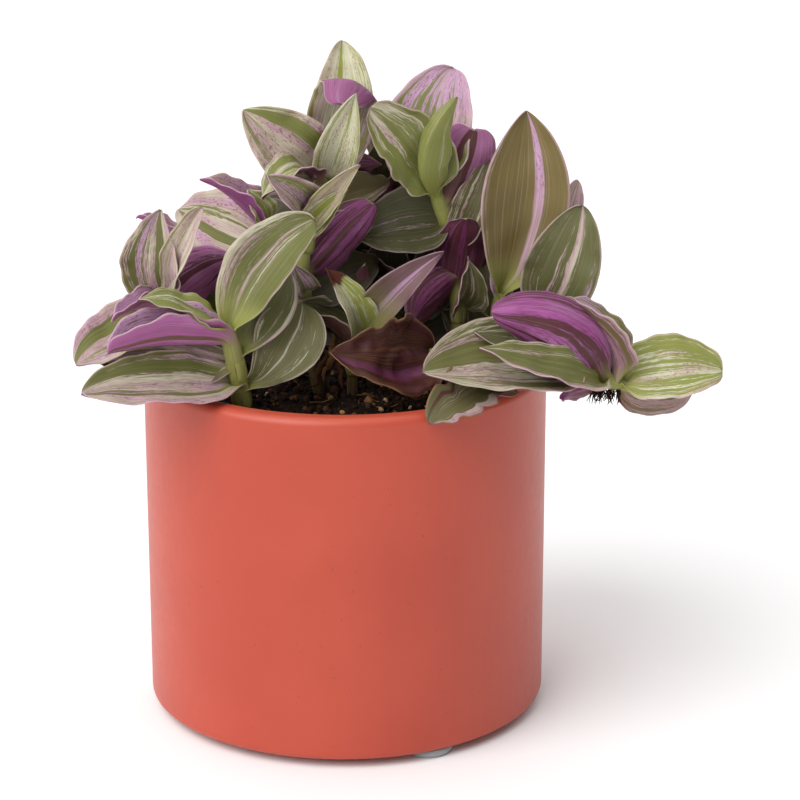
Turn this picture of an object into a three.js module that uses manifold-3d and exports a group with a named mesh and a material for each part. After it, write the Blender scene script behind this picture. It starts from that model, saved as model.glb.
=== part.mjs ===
// Potted tradescantia: a straight ceramic pot on three clear bumpers, full of soil, planted with
// leafy shoots whose folded, pointed leaves clasp thick stems. Millimetres, +Z up.
// The tables below are laid out from the pot's axis, with the surface it stands on at Z 0.
// The whole group is then shifted, so that the middle of its footprint lies at the origin.
import * as THREE from "three";
import { mergeVertices } from "three/addons/utils/BufferGeometryUtils.js";
import Module from "manifold-3d";

const wasm = await Module();
wasm.setup();

// Pot
const POT_RADIUS = 50;
const POT_BOTTOM = 2;
const RIM_TOP = 88;
const WALL = 5.5;
const FLOOR = 5;
const LIP_ROUND = 2.2;
const INNER_LIP_ROUND = 1.6;
const BOTTOM_ROUND = 1.6;
const ROUND_STEPS = 2;
const POT_SEGMENTS = 48;

// Bumpers under the pot
const BUMPER_RADIUS = 6.3;
const BUMPER_DOME = 0.8;
const BUMPER_CIRCLE = 43;
const BUMPER_ANGLES = { bumper_front: -62, bumper_right: 58, bumper_left: 178 };
const BUMPER_SEGMENTS = 12;

// Soil
const SOIL_TOP = 82;
const SOIL_RELIEF = 0.6;
const CLOD_LENGTH = 16;
const CRUMB_LENGTH = 5;
const SOIL_RINGS = 4;
const SOIL_SEGMENTS = 24;
const GAP = 0.3;

// Leaves: a blade's thickness, then how its foot clasps the stem, how far its foot reaches along it,
// how its margins ripple and how a hooked tip bends, as shares of the leaf's length or in degrees
const BLADE = 0.7;
const ROOT_FOLD = 62;
const ROOT_FOLD_REACH = 0.25;
const FOOT_SHARE = 0.16;
const FOOT_REACH = 0.35;
const TIP_SHARE = 0.03;
const BODY_POWER = 0.75;
const BLUNT_POWER = 0.35;
const WAVE = 0.5;
const WAVES = 2.3;
const WAVE_SHIFT = 0.37;
const WAVE_START = 0.25;
const HOOK_START = 0.5;
const HOOK_REACH = 0.32;
const HOOK_EASE = 1.2;
const LONG_LEAF = 27;
const LONG_STEPS = 6;
const SHORT_STEPS = 5;
const BROAD_LEAF = 6.7;
const BROAD_SLICES = 4;
const SLIM_SLICES = 2;

// Stems
const STEM_SIDES = 6;
const STEM_STEP = 9;
const STEM_TAPER = 0.25;
const STEM_TIP = 0.45;

// The shoots behind: where their leaves stand along the stem, how steeply and how wide
const GOLDEN_ANGLE = 137.5;
const LOWEST_LEAF = 0.25;
const HIGHEST_LEAF = 0.98;
const LOWEST_RISE = 8;
const HIGHEST_RISE = 60;
const TOP_SHORTENING = 0.3;
const HIDDEN_WIDTH = 0.31;

// The footprint's middle, seen from the pot's axis
const FOOTPRINT_X = 14;
const FOOTPRINT_Y = 5.1;

const DEGREE = Math.PI / 180;
const vector = (point) => new THREE.Vector3(...point);

// One leaf: where it clasps the stem, where its tip is, the way its upper side faces, and half its width.
// arch bows it towards its upper side, sway bows it sideways, fold and cup (degrees) lift its margins,
// phase shifts the ripple of its margins and hook (degrees) bends its tip back. blunt fills out its
// outer half, and a larger belly moves the widest place towards the tip.
const PLAIN = { arch: 2, sway: 0, fold: 14, cup: 22, phase: 0, hook: 0, blunt: 0, belly: 0.8 };

function leaf(name, base, tip, face, halfWidth, habit = {}) {
  const length = vector(base).distanceTo(vector(tip));
  return {
    name,
    base: vector(base),
    tip: vector(tip),
    face: vector(face),
    halfWidth,
    habit: { ...PLAIN, ...habit },
    steps: length < LONG_LEAF ? SHORT_STEPS : LONG_STEPS,
    slices: halfWidth < BROAD_LEAF ? SLIM_SLICES : BROAD_SLICES,
  };
}

function shoot(name, path, radius, leaves) {
  return { name, path: path.map(vector), radius, leaves };
}

const TRAILING_STEM = [
  [31, -15, 77],
  [32, -16, 88],
  [41, -20, 94],
  [52, -24, 93],
  [61, -26, 91],
  [67, -25, 89],
];
const CURLED_OVER = { arch: -6, sway: -5, cup: 50, blunt: 0.9, belly: 0.6 };

const frontShoots = [
  shoot("front_left_shoot", [[-23, -25, 77], [-24, -27, 84], [-25, -29, 93], [-27, -32, 105]], 2.3, [
    leaf("b1", [-26, -31, 103], [-6.5, -23, 129], [-0.15, -0.9, 0.4], 8.5, {
      sway: -3.5,
      blunt: 0.8,
      belly: 0.95,
    }),
    leaf("b2", [-25, -28.5, 97], [-13, -19, 116], [0.1, -1, 0.3], 6.8, { fold: 6, cup: 20, belly: 1.2 }),
    leaf("b3", [-23, -27.5, 88.5], [-10, -20, 108], [0.1, -1, 0.3], 9.5, { sway: 2, blunt: 0.4, belly: 1.5 }),
    leaf("d1", [-28, -32, 103], [-47, -40, 114], [0, -0.35, 1], 6),
    leaf("d2", [-26, -31, 100], [-54, -43, 102], [0, -0.2, 1], 9.5, { fold: 58, blunt: 1 }),
    leaf("d5", [-25, -29, 89], [-60, -46, 93], [0, -0.6, 0.8], 9, { blunt: 0.8 }),
  ]),
  shoot("left_shoot", [[-36, -8, 77], [-38, -11, 88], [-41, -16, 100], [-43, -20, 110]], 2.1, [
    leaf("c1", [-43, -20, 109], [-43, -21, 131], [-0.3, -0.9, 0.25], 8.5, { sway: -1, belly: 0.68 }),
    leaf("c2", [-42, -20.3, 107], [-33, -23, 132], [-0.35, -0.9, 0.2], 4.5, {
      arch: 3.5,
      fold: 30,
      blunt: 0.5,
      belly: 1.3,
    }),
    leaf("c3", [-42, -18, 107], [-26, -15, 118], [-0.1, 0.9, 0.3], 9),
    leaf("d3", [-42, -18, 102], [-62.6, -33, 96.2], [-0.2, -0.6, 0.8], 9.5, { blunt: 0.8 }),
    leaf("d4", [-42, -19, 106], [-54, -33, 107], [0, -0.2, 1], 5, { fold: 50 }),
  ]),
  shoot("mid_left_shoot", [[-16, -2, 77], [-18, -4, 100], [-19, -7, 116], [-19, -9, 126]], 1.9, [
    leaf("c4", [-19, -7, 118], [-41, 5, 125], [0, -0.85, 0.5], 10),
    leaf("c5", [-19, -8, 121], [-34, -15, 137], [0.65, -0.25, 0.7], 6, { fold: 45 }),
    leaf("c6", [-19, -9, 125], [-23, -13, 134], [0.4, -0.9, 0.5], 4),
  ]),
  shoot("tall_left_shoot", [[-5, -5, 77], [-9, -10, 98], [-10, -12, 113], [-8, -8, 126], [-4, 0, 137]], 2.2, [
    leaf("a1", [-5, -1, 133], [-0.5, 10, 166], [0, -1, 0.2], 8.7, { sway: 2.3, blunt: 0.4 }),
    leaf("a2", [-4, 0.2, 135.3], [6.5, 3.5, 170], [-0.08, -1, 0.2], 9.4, {
      fold: 14,
      hook: -140,
      blunt: 1.1,
    }),
    leaf("a3", [-4, -3, 133], [3, -13.5, 157.3], [0, -1, 0.2], 6, { fold: 20 }),
    leaf("a4", [-6, -2, 136], [-24, -7, 152], [-0.3, -0.8, 0.5], 9.9, { blunt: 0.2, belly: 0.7 }),
    leaf("a5", [-6, -4, 134], [-19, -18, 133], [-0.3, -0.5, 0.8], 6, { arch: 5 }),
    leaf("a6", [-8, -8, 126], [-18, -20, 139], [-0.2, -0.8, 0.6], 6.5, { cup: 55 }),
    leaf("a7", [-5, -2, 133], [-12, 0, 138], [0, 0.8, 0.5], 5),
    leaf("a8", [-8, -9, 124], [4, -17, 141], [0, -0.9, 0.4], 5, { fold: 40 }),
    leaf("a8b", [-9, -9, 122], [1, -16, 135], [0, -0.9, 0.4], 3.5),
    leaf("a9", [-10, -12, 112], [7, -10, 130], [0.1, 0.85, 0.2], 6.5, { blunt: 1 }),
    leaf("e5", [-9, -12, 109], [-12, -18, 117], [0, -0.9, 0.4], 3.5),
    leaf("j1", [-5, -2, 132], [9, 2, 137], [0, 0.8, 0.5], 5),
    leaf("j2", [-7, -6, 128], [11, 5, 132], [0, -0.9, 0.5], 5),
  ]),
  shoot("tall_right_shoot", [[26, -1, 77], [28, -3, 100], [27, -2, 118], [22, -3, 132]], 2.2, [
    leaf("i1", [23, -3, 130], [26.8, 11, 159], [-0.35, -0.85, 0.3], 12.8, { sway: -2.2, blunt: 0.75 }),
    leaf("i2", [22, -5, 129], [27, -16, 157], [0.5, 0.8, 0.2], 7, { arch: -5, sway: 3, fold: 40 }),
    leaf("i3", [22, -4, 131], [6.5, -10.5, 153.3], [-0.1, -0.9, 0.35], 9.3, { sway: 2.5, blunt: 1 }),
    leaf("i4", [24.5, -4, 126.5], [31.5, -9, 147.8], [0.1, 0.95, 0.2], 9, { blunt: 1.2 }),
    leaf("i5", [27.5, -3, 118], [35, -3, 139], [-0.35, -0.85, 0.4], 5.9, { sway: 2, cup: 34, blunt: 0.6 }),
    leaf("i6", [26, -1, 123], [3, -3, 120], [0, -0.8, 0.6], 10),
    leaf("i7", [27, -5, 107], [29.5, -13, 127], [0.1, 0.95, 0.2], 7.5),
    leaf("i8", [28.5, -5.5, 112], [17, -17, 103], [0.2, 0.9, 0.3], 8.8, { fold: 30 }),
    leaf("i9", [27, -5, 103], [30, -14, 117], [0.4, -0.9, 0.3], 6.5, { fold: 35 }),
  ]),
  shoot("tall_leaf_shoot", [[36, -5, 77], [37, -7, 95], [38, -8, 107]], 1.9, [
    leaf("h", [38, -8, 105], [44, -2, 151], [0.05, -0.95, 0.3], 11.8, { sway: 2.3, belly: 1.15 }),
    leaf("i10", [38, -7, 104], [41, 4, 121], [0, -0.9, 0.4], 4),
  ]),
  shoot("right_shoot", [[40, 4, 77], [42, -1, 92], [48.8, -13, 104]], 1.8, [
    leaf("h2", [47.6, -12.3, 102.5], [57.2, -12, 130], [0, -0.9, 0.4], 9.5, {
      sway: 1,
      fold: 8,
      cup: 16,
      blunt: 0.5,
    }),
    leaf("h4", [46.6, -9, 100], [57.4, 6, 132], [0, -0.9, 0.4], 5, { blunt: 0.7 }),
  ]),
  shoot("trailing_shoot", TRAILING_STEM, 2, [
    leaf("g1", [58, -25, 92], [19, -42, 97], [0, -0.6, 0.8], 14, { arch: 1, fold: 20, blunt: 0.7 }),
    leaf("g2", [65, -27, 90], [35, -36, 110], [-0.2, 0.8, -0.6], 12.5, CURLED_OVER),
    leaf("g8", [61, -26, 92], [31, -33, 104], [0, -0.7, 0.7], 6),
    leaf("g3", [64, -27, 90], [32, -42, 103], [0.1, -0.6, 0.8], 6.5, { arch: 3, sway: -3 }),
    leaf("g4", [66, -25, 90], [52.5, -23, 109.8], [0.6, 0, 0.8], 9, { fold: 35, belly: 0.65 }),
    leaf("g5", [66, -25, 90], [90.5, -26, 92.8], [0, -0.75, 0.65], 9.5, { blunt: 0.9 }),
    leaf("g6", [66, -26, 89], [83, -28, 88], [0, 1, 0.2], 6.5, { sway: -4 }),
    leaf("g9", [65, -26, 89], [52, -33, 87.6], [0, 0.9, 0.3], 4.5),
    leaf("g7", [46, -22, 93], [20.5, -48, 86.5], [0.3, -0.4, 0.8], 9, { arch: 3.5, blunt: 1 }),
  ]),
  shoot("withered_leaf", [[22, -16, 77], [22, -18, 90], [21, -19.5, 96.3]], 1.6, [
    leaf("f", [21.1, -20.1, 95.3], [-3, -32, 99.2], [0, -0.9, 0.45], 11.2, { sway: -2, belly: 0.6 }),
  ]),
  shoot("young_shoot", [[2, -9, 77], [2, -10, 88], [3, -12, 97]], 1.7, [
    leaf("e1", [3, -12, 95], [-4.2, -17, 115.6], [0.4, -0.8, 0.4], 6, { fold: 32, arch: 5 }),
    leaf("e2", [3, -12, 95], [24, -18, 120], [0.3, -0.7, 0.6], 5, { arch: 5, sway: -2 }),
    leaf("e3", [2, -11, 92], [-12, -16, 106], [0.3, -0.3, 0.9], 7.5, { fold: 38 }),
    leaf("e4", [3, -10, 97], [5, -6, 114], [0, 0.9, 0.2], 3.5),
  ]),
];

// A shoot that the front ones hide: leaves leave its stem at the golden angle, the low ones long and level,
// the high ones short and steep, each a little off the rule by a seeded draw.
function spiralShoot(name, foot, top, radius, { turn, count, length, skip = [] }) {
  const leaves = [];
  for (let i = 0; i < count; i++) {
    if (skip.includes(i)) continue;
    const share = i / (count - 1);
    const draw = seeded(7 * foot[0] + 3 * foot[1] + i);
    const base = vector(foot).lerp(vector(top), LOWEST_LEAF + (HIGHEST_LEAF - LOWEST_LEAF) * share);
    const angle = (turn + GOLDEN_ANGLE * i + draw(1, -12, 12)) * DEGREE;
    const rise = (LOWEST_RISE + (HIGHEST_RISE - LOWEST_RISE) * share + draw(2, -7, 7)) * DEGREE;
    const reach = length * (1 - TOP_SHORTENING * share) * draw(3, 0.9, 1.1);
    const level = new THREE.Vector3(Math.cos(angle), Math.sin(angle), 0);
    const along = level.clone().multiplyScalar(Math.cos(rise)).setZ(Math.sin(rise));
    const face = level.clone().multiplyScalar(-Math.sin(rise)).setZ(Math.cos(rise));
    const tip = base.clone().addScaledVector(along, reach);
    const habit = {
      arch: draw(4, 1.5, 4),
      fold: draw(5, 12, 34),
      sway: draw(6, -1.5, 1.5),
      phase: draw(7, 0, 1),
    };
    const hidden = leaf(`${name}_${i}`, base, tip, face, HIDDEN_WIDTH * reach, habit);
    leaves.push({ ...hidden, steps: SHORT_STEPS, slices: SLIM_SLICES });
  }
  return shoot(name, [foot, top], radius, leaves);
}

// A repeatable draw from low to high for each key.
function seeded(seed) {
  return (key, low, high) => {
    const wide = Math.sin(12.9898 * (seed + 1) + 78.233 * key) * 43758.5453;
    return low + (high - low) * (wide - Math.floor(wide));
  };
}

const hiddenShoots = [
  spiralShoot("back_left_shoot", [-33, 14, 77], [-36, 20, 110], 1.9, { turn: 134, count: 5, length: 30 }),
  spiralShoot("back_mid_left_shoot", [-16, 24, 77], [-15, 30, 115], 2, { turn: 126, count: 5, length: 32 }),
  spiralShoot("back_middle_shoot", [4, 30, 77], [5, 36, 116], 1.9, { turn: 102, count: 5, length: 32 }),
  spiralShoot("back_mid_right_shoot", [24, 24, 77], [27, 29, 118], 1.9, { turn: 48, count: 5, length: 32 }),
  spiralShoot("back_right_shoot", [35, 15, 77], [42, 23, 110], 1.9, { turn: 324, count: 5, length: 29 }),
  spiralShoot("inner_shoot", [8, 11, 77], [9, 14, 132], 1.9, {
    turn: 162,
    count: 6,
    length: 28,
    skip: [0, 1],
  }),
  spiralShoot("low_shoot", [15, 3, 77], [16, 6, 111], 1.7, { turn: 258, count: 4, length: 25 }),
];

// A blade's half width along its length, as a share of the widest: clasping foot, oval body, pointed tip.
function outline(u, { blunt, belly }) {
  const bow = Math.max(Math.sin(Math.PI * u ** belly), 0);
  const body = bow ** (u > 0.5 ? BODY_POWER - BLUNT_POWER * blunt : BODY_POWER);
  const foot = FOOT_SHARE * Math.max(1 - u / FOOT_REACH, 0) ** 2;
  return Math.max(body + foot, TIP_SHARE);
}

// The midrib: its points with the way each runs and the way the upper side faces there.
function midrib({ base, tip, face, habit, steps }) {
  const chord = tip.clone().sub(base);
  const length = chord.length();
  const along = chord.clone().normalize();
  const up = face.clone().addScaledVector(along, -face.dot(along)).normalize();
  const side = along.clone().cross(up);
  const frames = [];
  for (let i = 0; i <= steps; i++) {
    const u = i / steps;
    const bow = 4 * u * (1 - u);
    const slope = 4 * (1 - 2 * u);
    const point = base
      .clone()
      .addScaledVector(chord, u)
      .addScaledVector(up, habit.arch * bow)
      .addScaledVector(side, habit.sway * bow);
    const run = along
      .clone()
      .multiplyScalar(length)
      .addScaledVector(up, habit.arch * slope)
      .addScaledVector(side, habit.sway * slope)
      .normalize();
    const normal = up.clone().addScaledVector(run, -up.dot(run)).normalize();
    frames.push({ u, point, run, normal });
  }
  return habit.hook ? hooked(frames, side, habit.hook) : frames;
}

// Bends the outer part of the midrib away from the leaf's upper side.
function hooked(frames, side, hook) {
  const bend = (u) => -hook * DEGREE * Math.min(1, Math.max(0, (u - HOOK_START) / HOOK_REACH)) ** HOOK_EASE;
  const bent = [frames[0]];
  for (let i = 1; i < frames.length; i++) {
    const { u, point, run, normal } = frames[i];
    const step = point.clone().sub(frames[i - 1].point);
    step.applyAxisAngle(side, bend((u + frames[i - 1].u) / 2));
    bent.push({
      u,
      point: bent[i - 1].point.clone().add(step),
      run: run.clone().applyAxisAngle(side, bend(u)),
      normal: normal.clone().applyAxisAngle(side, bend(u)),
    });
  }
  return bent;
}

// A blade's middle surface as rows of points from foot to tip, each with its own normal.
function bladeRows(spec) {
  const { halfWidth, habit, slices } = spec;
  const cup = habit.cup * DEGREE;
  return midrib(spec).map(({ u, point, run, normal }) => {
    const across = run.clone().cross(normal);
    const reach = halfWidth * outline(u, habit);
    const closing = Math.max(0, 1 - u / ROOT_FOLD_REACH) ** 2;
    const fold = (habit.fold + (ROOT_FOLD - habit.fold) * closing) * DEGREE;
    const row = [];
    for (let j = 0; j <= slices; j++) {
      const v = -1 + (2 * j) / slices;
      const arc = cup * Math.abs(v);
      const out = (reach * Math.sin(arc)) / cup;
      const rise = (reach * (1 - Math.cos(arc))) / cup;
      const shift = v > 0 ? WAVE_SHIFT : 0;
      const ripple = WAVE * v * v * Math.sin(2 * Math.PI * (WAVES * u + habit.phase + shift));
      const lateral = out * Math.cos(fold) - rise * Math.sin(fold);
      const lift = out * Math.sin(fold) + rise * Math.cos(fold) + ripple * Math.min(1, u / WAVE_START);
      const tilt = v === 0 ? 0 : fold + arc;
      const miter = v === 0 ? 1 / Math.cos(fold) : 1;
      row.push({
        point: point
          .clone()
          .addScaledVector(across, lateral * Math.sign(v))
          .addScaledVector(normal, lift),
        normal: normal
          .clone()
          .multiplyScalar(Math.cos(tilt))
          .addScaledVector(across, -Math.sin(tilt) * Math.sign(v))
          .multiplyScalar(miter),
      });
    }
    return row;
  });
}

// A closed solid from corner points and triangles.
function solid(points, triangles) {
  const geometry = new THREE.BufferGeometry();
  geometry.setAttribute("position", new THREE.Float32BufferAttribute(points.flatMap((p) => p.toArray()), 3));
  geometry.setIndex(triangles.flat());
  return solidOf(geometry);
}

function solidOf(geometry) {
  const bare = geometry.clone();
  bare.deleteAttribute("normal");
  bare.deleteAttribute("uv");
  const merged = mergeVertices(bare, 1e-4);
  return new wasm.Manifold(
    new wasm.Mesh({
      numProp: 3,
      vertProperties: new Float32Array(merged.attributes.position.array),
      triVerts: new Uint32Array(merged.index.array),
    }),
  );
}

// The blade as a closed skin: both faces are split into triangles alike, with a wall round the margin.
function bladeSolid(spec) {
  const rows = bladeRows(spec);
  const columns = rows[0].length;
  const points = [];
  for (const side of [0.5, -0.5]) {
    for (const { point, normal } of rows.flat()) {
      points.push(point.clone().addScaledVector(normal, side * BLADE));
    }
  }
  const under = rows.length * columns;
  const at = (i, j) => i * columns + j;
  const triangles = [];
  for (let i = 0; i + 1 < rows.length; i++) {
    for (let j = 0; j + 1 < columns; j++) {
      const [a, b, c, d] = [at(i, j), at(i, j + 1), at(i + 1, j + 1), at(i + 1, j)];
      triangles.push([a, b, c], [a, c, d]);
      triangles.push([a + under, c + under, b + under], [a + under, d + under, c + under]);
    }
  }
  const last = rows.length - 1;
  const edge = [];
  for (let j = 0; j + 1 < columns; j++) edge.push(at(0, j));
  for (let i = 0; i < last; i++) edge.push(at(i, columns - 1));
  for (let j = columns - 1; j > 0; j--) edge.push(at(last, j));
  for (let i = last; i > 0; i--) edge.push(at(i, 0));
  edge.forEach((p, k) => {
    const q = edge[(k + 1) % edge.length];
    triangles.push([p, p + under, q + under], [p, q + under, q]);
  });
  return solid(points, triangles);
}

// A round bar through the points, with a radius for each, closed by flat ends. Its corners start aside.
const ASIDE = new THREE.Vector3(0.3, 1, 0.1);

function bar(centres, radii, sides) {
  const points = [];
  const triangles = [];
  const first = centres[1].clone().sub(centres[0]).normalize();
  let across = ASIDE.clone().cross(first).normalize();
  centres.forEach((centre, i) => {
    const before = centres[Math.max(i - 1, 0)];
    const after = centres[Math.min(i + 1, centres.length - 1)];
    const run = after.clone().sub(before).normalize();
    across = across.clone().addScaledVector(run, -across.dot(run)).normalize();
    const other = run.clone().cross(across);
    for (let k = 0; k < sides; k++) {
      const angle = (2 * Math.PI * k) / sides;
      points.push(
        centre
          .clone()
          .addScaledVector(across, radii[i] * Math.cos(angle))
          .addScaledVector(other, radii[i] * Math.sin(angle)),
      );
    }
  });
  for (let i = 0; i + 1 < centres.length; i++) {
    for (let k = 0; k < sides; k++) {
      const [a, b] = [i * sides + k, i * sides + ((k + 1) % sides)];
      triangles.push([a, b, b + sides], [a, b + sides, a + sides]);
    }
  }
  const top = (centres.length - 1) * sides;
  for (let k = 1; k + 1 < sides; k++) {
    triangles.push([0, k + 1, k], [top, top + k, top + k + 1]);
  }
  return solid(points, triangles);
}

// Points along a shoot's stem, from its foot in the soil to its growing tip.
function stemLine(path) {
  const curve = new THREE.CatmullRomCurve3(path);
  return curve.getSpacedPoints(Math.max(4, Math.round(curve.getLength() / STEM_STEP)));
}

function stemSolid({ path, radius }) {
  const centres = stemLine(path);
  const last = centres.length - 1;
  const radii = centres.map((_, i) => radius * (i === last ? STEM_TIP : 1 - (STEM_TAPER * i) / last));
  return bar(centres, radii, STEM_SIDES);
}

// A stem joined with its leaves. Slivers and sealed pockets where leaf feet cross are left out.
function shootSolid(spec) {
  const joined = spec.leaves.reduce((whole, one) => whole.add(bladeSolid(one)), stemSolid(spec));
  const bodies = joined.decompose();
  return bodies.reduce((largest, body) => (body.volume() > largest.volume() ? body : largest));
}

// A quarter circle of profile points round a centre, from one angle to another.
function corner(x, z, radius, from, to) {
  const points = [];
  for (let i = 0; i <= ROUND_STEPS; i++) {
    const angle = (from + ((to - from) * i) / ROUND_STEPS) * DEGREE;
    points.push(new THREE.Vector2(x + radius * Math.cos(angle), z + radius * Math.sin(angle)));
  }
  return points;
}

// A profile of radius and height turned round a vertical axis through x, y.
function turned(profile, segments, x = 0, y = 0) {
  const geometry = new THREE.LatheGeometry(profile, segments);
  geometry.rotateX(Math.PI / 2).translate(x, y, 0);
  return solidOf(geometry);
}

function potSolid() {
  const inside = POT_RADIUS - WALL;
  const floorTop = POT_BOTTOM + FLOOR;
  return turned(
    [
      new THREE.Vector2(0, POT_BOTTOM),
      ...corner(POT_RADIUS - BOTTOM_ROUND, POT_BOTTOM + BOTTOM_ROUND, BOTTOM_ROUND, -90, 0),
      ...corner(POT_RADIUS - LIP_ROUND, RIM_TOP - LIP_ROUND, LIP_ROUND, 0, 90),
      ...corner(inside + INNER_LIP_ROUND, RIM_TOP - INNER_LIP_ROUND, INNER_LIP_ROUND, 90, 180),
      new THREE.Vector2(inside, floorTop),
      new THREE.Vector2(0, floorTop),
    ],
    POT_SEGMENTS,
  );
}

function bumperSolid(angle) {
  const profile = [
    new THREE.Vector2(0, 0),
    new THREE.Vector2(BUMPER_RADIUS - BUMPER_DOME, 0),
    new THREE.Vector2(BUMPER_RADIUS, POT_BOTTOM),
    new THREE.Vector2(0, POT_BOTTOM),
  ];
  const x = BUMPER_CIRCLE * Math.cos(angle * DEGREE);
  const y = BUMPER_CIRCLE * Math.sin(angle * DEGREE);
  return turned(profile, BUMPER_SEGMENTS, x, y);
}

// How far the soil's crumbs stand above or below its level at a place.
function soilRelief(x, y) {
  const clods = Math.sin((2 * Math.PI * x) / CLOD_LENGTH + 1) * Math.cos((2 * Math.PI * y) / CLOD_LENGTH);
  const crumbs = Math.sin((2 * Math.PI * (x - y)) / CRUMB_LENGTH + 2);
  return SOIL_RELIEF * (clods + crumbs / 2);
}

function soilSolid(shoots) {
  const radius = POT_RADIUS - WALL - GAP;
  const bottom = POT_BOTTOM + FLOOR + GAP;
  const points = [new THREE.Vector3(0, 0, SOIL_TOP + soilRelief(0, 0))];
  const triangles = [];
  for (let ring = 1; ring <= SOIL_RINGS; ring++) {
    for (let k = 0; k < SOIL_SEGMENTS; k++) {
      const angle = (2 * Math.PI * k) / SOIL_SEGMENTS;
      const x = ((radius * ring) / SOIL_RINGS) * Math.cos(angle);
      const y = ((radius * ring) / SOIL_RINGS) * Math.sin(angle);
      points.push(new THREE.Vector3(x, y, SOIL_TOP + soilRelief(x, y)));
    }
  }
  const rim = points.slice(-SOIL_SEGMENTS);
  points.push(...rim.map(({ x, y }) => new THREE.Vector3(x, y, bottom)), new THREE.Vector3(0, 0, bottom));
  const foot = points.length - 1;
  for (let ring = 0; ring <= SOIL_RINGS; ring++) {
    for (let k = 0; k < SOIL_SEGMENTS; k++) {
      const next = (k + 1) % SOIL_SEGMENTS;
      const outer = 1 + ring * SOIL_SEGMENTS;
      const inner = outer - SOIL_SEGMENTS;
      if (ring === 0) triangles.push([0, outer + k, outer + next]);
      else triangles.push([inner + k, outer + k, outer + next], [inner + k, outer + next, inner + next]);
      if (ring === SOIL_RINGS) triangles.push([foot, outer + next, outer + k]);
    }
  }
  return shoots.reduce((soil, one) => soil.subtract(stemHole(one)), solid(points, triangles));
}

// The plain hole in the soil that a stem stands in.
function stemHole({ path, radius }) {
  const line = stemLine(path);
  const below = line[0].clone().lerp(line[1], -GAP / STEM_STEP);
  const centres = [below, ...line.slice(1, 3)];
  return bar(centres, centres.map(() => radius + GAP), STEM_SIDES);
}

const finishes = {
  pot: new THREE.MeshStandardMaterial({ color: 0xc8563f, roughness: 0.42, metalness: 0 }),
  bumper: new THREE.MeshStandardMaterial({ color: 0xdfe3e4, roughness: 0.15, metalness: 0 }),
  soil: new THREE.MeshStandardMaterial({ color: 0x2c2019, roughness: 0.95, metalness: 0 }),
  shoot: new THREE.MeshStandardMaterial({ color: 0x8a9a5b, roughness: 0.5, metalness: 0 }),
  withered: new THREE.MeshStandardMaterial({ color: 0x5d3a3a, roughness: 0.75, metalness: 0 }),
};

function named(name, made, material) {
  const { vertProperties, triVerts } = made.getMesh();
  const geometry = new THREE.BufferGeometry();
  geometry.setAttribute("position", new THREE.BufferAttribute(vertProperties, 3));
  geometry.setIndex(new THREE.BufferAttribute(triVerts, 1));
  geometry.computeVertexNormals();
  const mesh = new THREE.Mesh(geometry, material);
  mesh.name = name;
  return mesh;
}

const shoots = [...frontShoots, ...hiddenShoots];
const plant = new THREE.Group();
plant.position.set(-FOOTPRINT_X, -FOOTPRINT_Y, 0);
plant.add(named("pot", potSolid(), finishes.pot));
for (const [name, angle] of Object.entries(BUMPER_ANGLES)) {
  plant.add(named(name, bumperSolid(angle), finishes.bumper));
}
plant.add(named("soil", soilSolid(shoots), finishes.soil));
for (const one of shoots) {
  const finish = one.name === "withered_leaf" ? finishes.withered : finishes.shoot;
  plant.add(named(one.name, shootSolid(one), finish));
}

const potted = new THREE.Group();
potted.add(plant);

export default potted;
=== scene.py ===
"""Potted tradescantia: folded, striped leaves on thick stems, in a coral glazed pot on clear bumpers.

The pot, the bumpers and the soil are turned again from the frame's own sizes. Each leafy stem is grown
again from the places that its solid was built from, with fine blades whose feet clasp the stem. Places
on the plant are in millimetres from the pot's axis, with the surface that the pot stands on at 0.
"""

import logging
import math
from dataclasses import dataclass, replace
from enum import Enum

import bpy
import numpy as np
from mathutils import Color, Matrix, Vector


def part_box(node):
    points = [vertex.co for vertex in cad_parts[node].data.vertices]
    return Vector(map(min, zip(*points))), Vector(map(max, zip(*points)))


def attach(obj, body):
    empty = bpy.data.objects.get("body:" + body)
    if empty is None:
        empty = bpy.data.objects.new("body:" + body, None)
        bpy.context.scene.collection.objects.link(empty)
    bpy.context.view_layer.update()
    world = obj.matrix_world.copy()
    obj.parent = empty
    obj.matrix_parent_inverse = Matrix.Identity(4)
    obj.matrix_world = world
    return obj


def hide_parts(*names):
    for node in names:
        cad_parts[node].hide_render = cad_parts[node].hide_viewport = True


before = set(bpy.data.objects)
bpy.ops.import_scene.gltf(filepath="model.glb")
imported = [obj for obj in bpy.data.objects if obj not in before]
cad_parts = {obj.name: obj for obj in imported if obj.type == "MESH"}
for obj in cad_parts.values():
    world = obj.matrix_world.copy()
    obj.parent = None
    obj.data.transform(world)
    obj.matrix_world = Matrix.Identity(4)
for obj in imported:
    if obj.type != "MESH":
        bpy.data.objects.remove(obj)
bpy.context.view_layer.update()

LOG = logging.getLogger("potted_tradescantia")
ROOT_BODY = "root"
MM = 0.001
STUDIO_LEVEL = 1.2

Place = tuple[float, float, float]
Span = tuple[float, float]
Colour = tuple[float, float, float, float]
Stops = tuple[tuple[float, Colour], ...]
Marks = np.ndarray | tuple[float, float, float]
Faces = list[list[int]]
Socket = bpy.types.NodeSocket


def srgb(red: int, green: int, blue: int) -> Colour:
    """The finish that looks like a colour, 0 to 255 a channel, in a studio lit a little over white."""
    seen = Color((red / 255, green / 255, blue / 255)).from_srgb_to_scene_linear() / STUDIO_LEVEL
    return seen.r, seen.g, seen.b, 1.0


def unit(vectors: np.ndarray) -> np.ndarray:
    """The vectors, each made one long."""
    return vectors / np.linalg.norm(vectors, axis=-1, keepdims=True)


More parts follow.
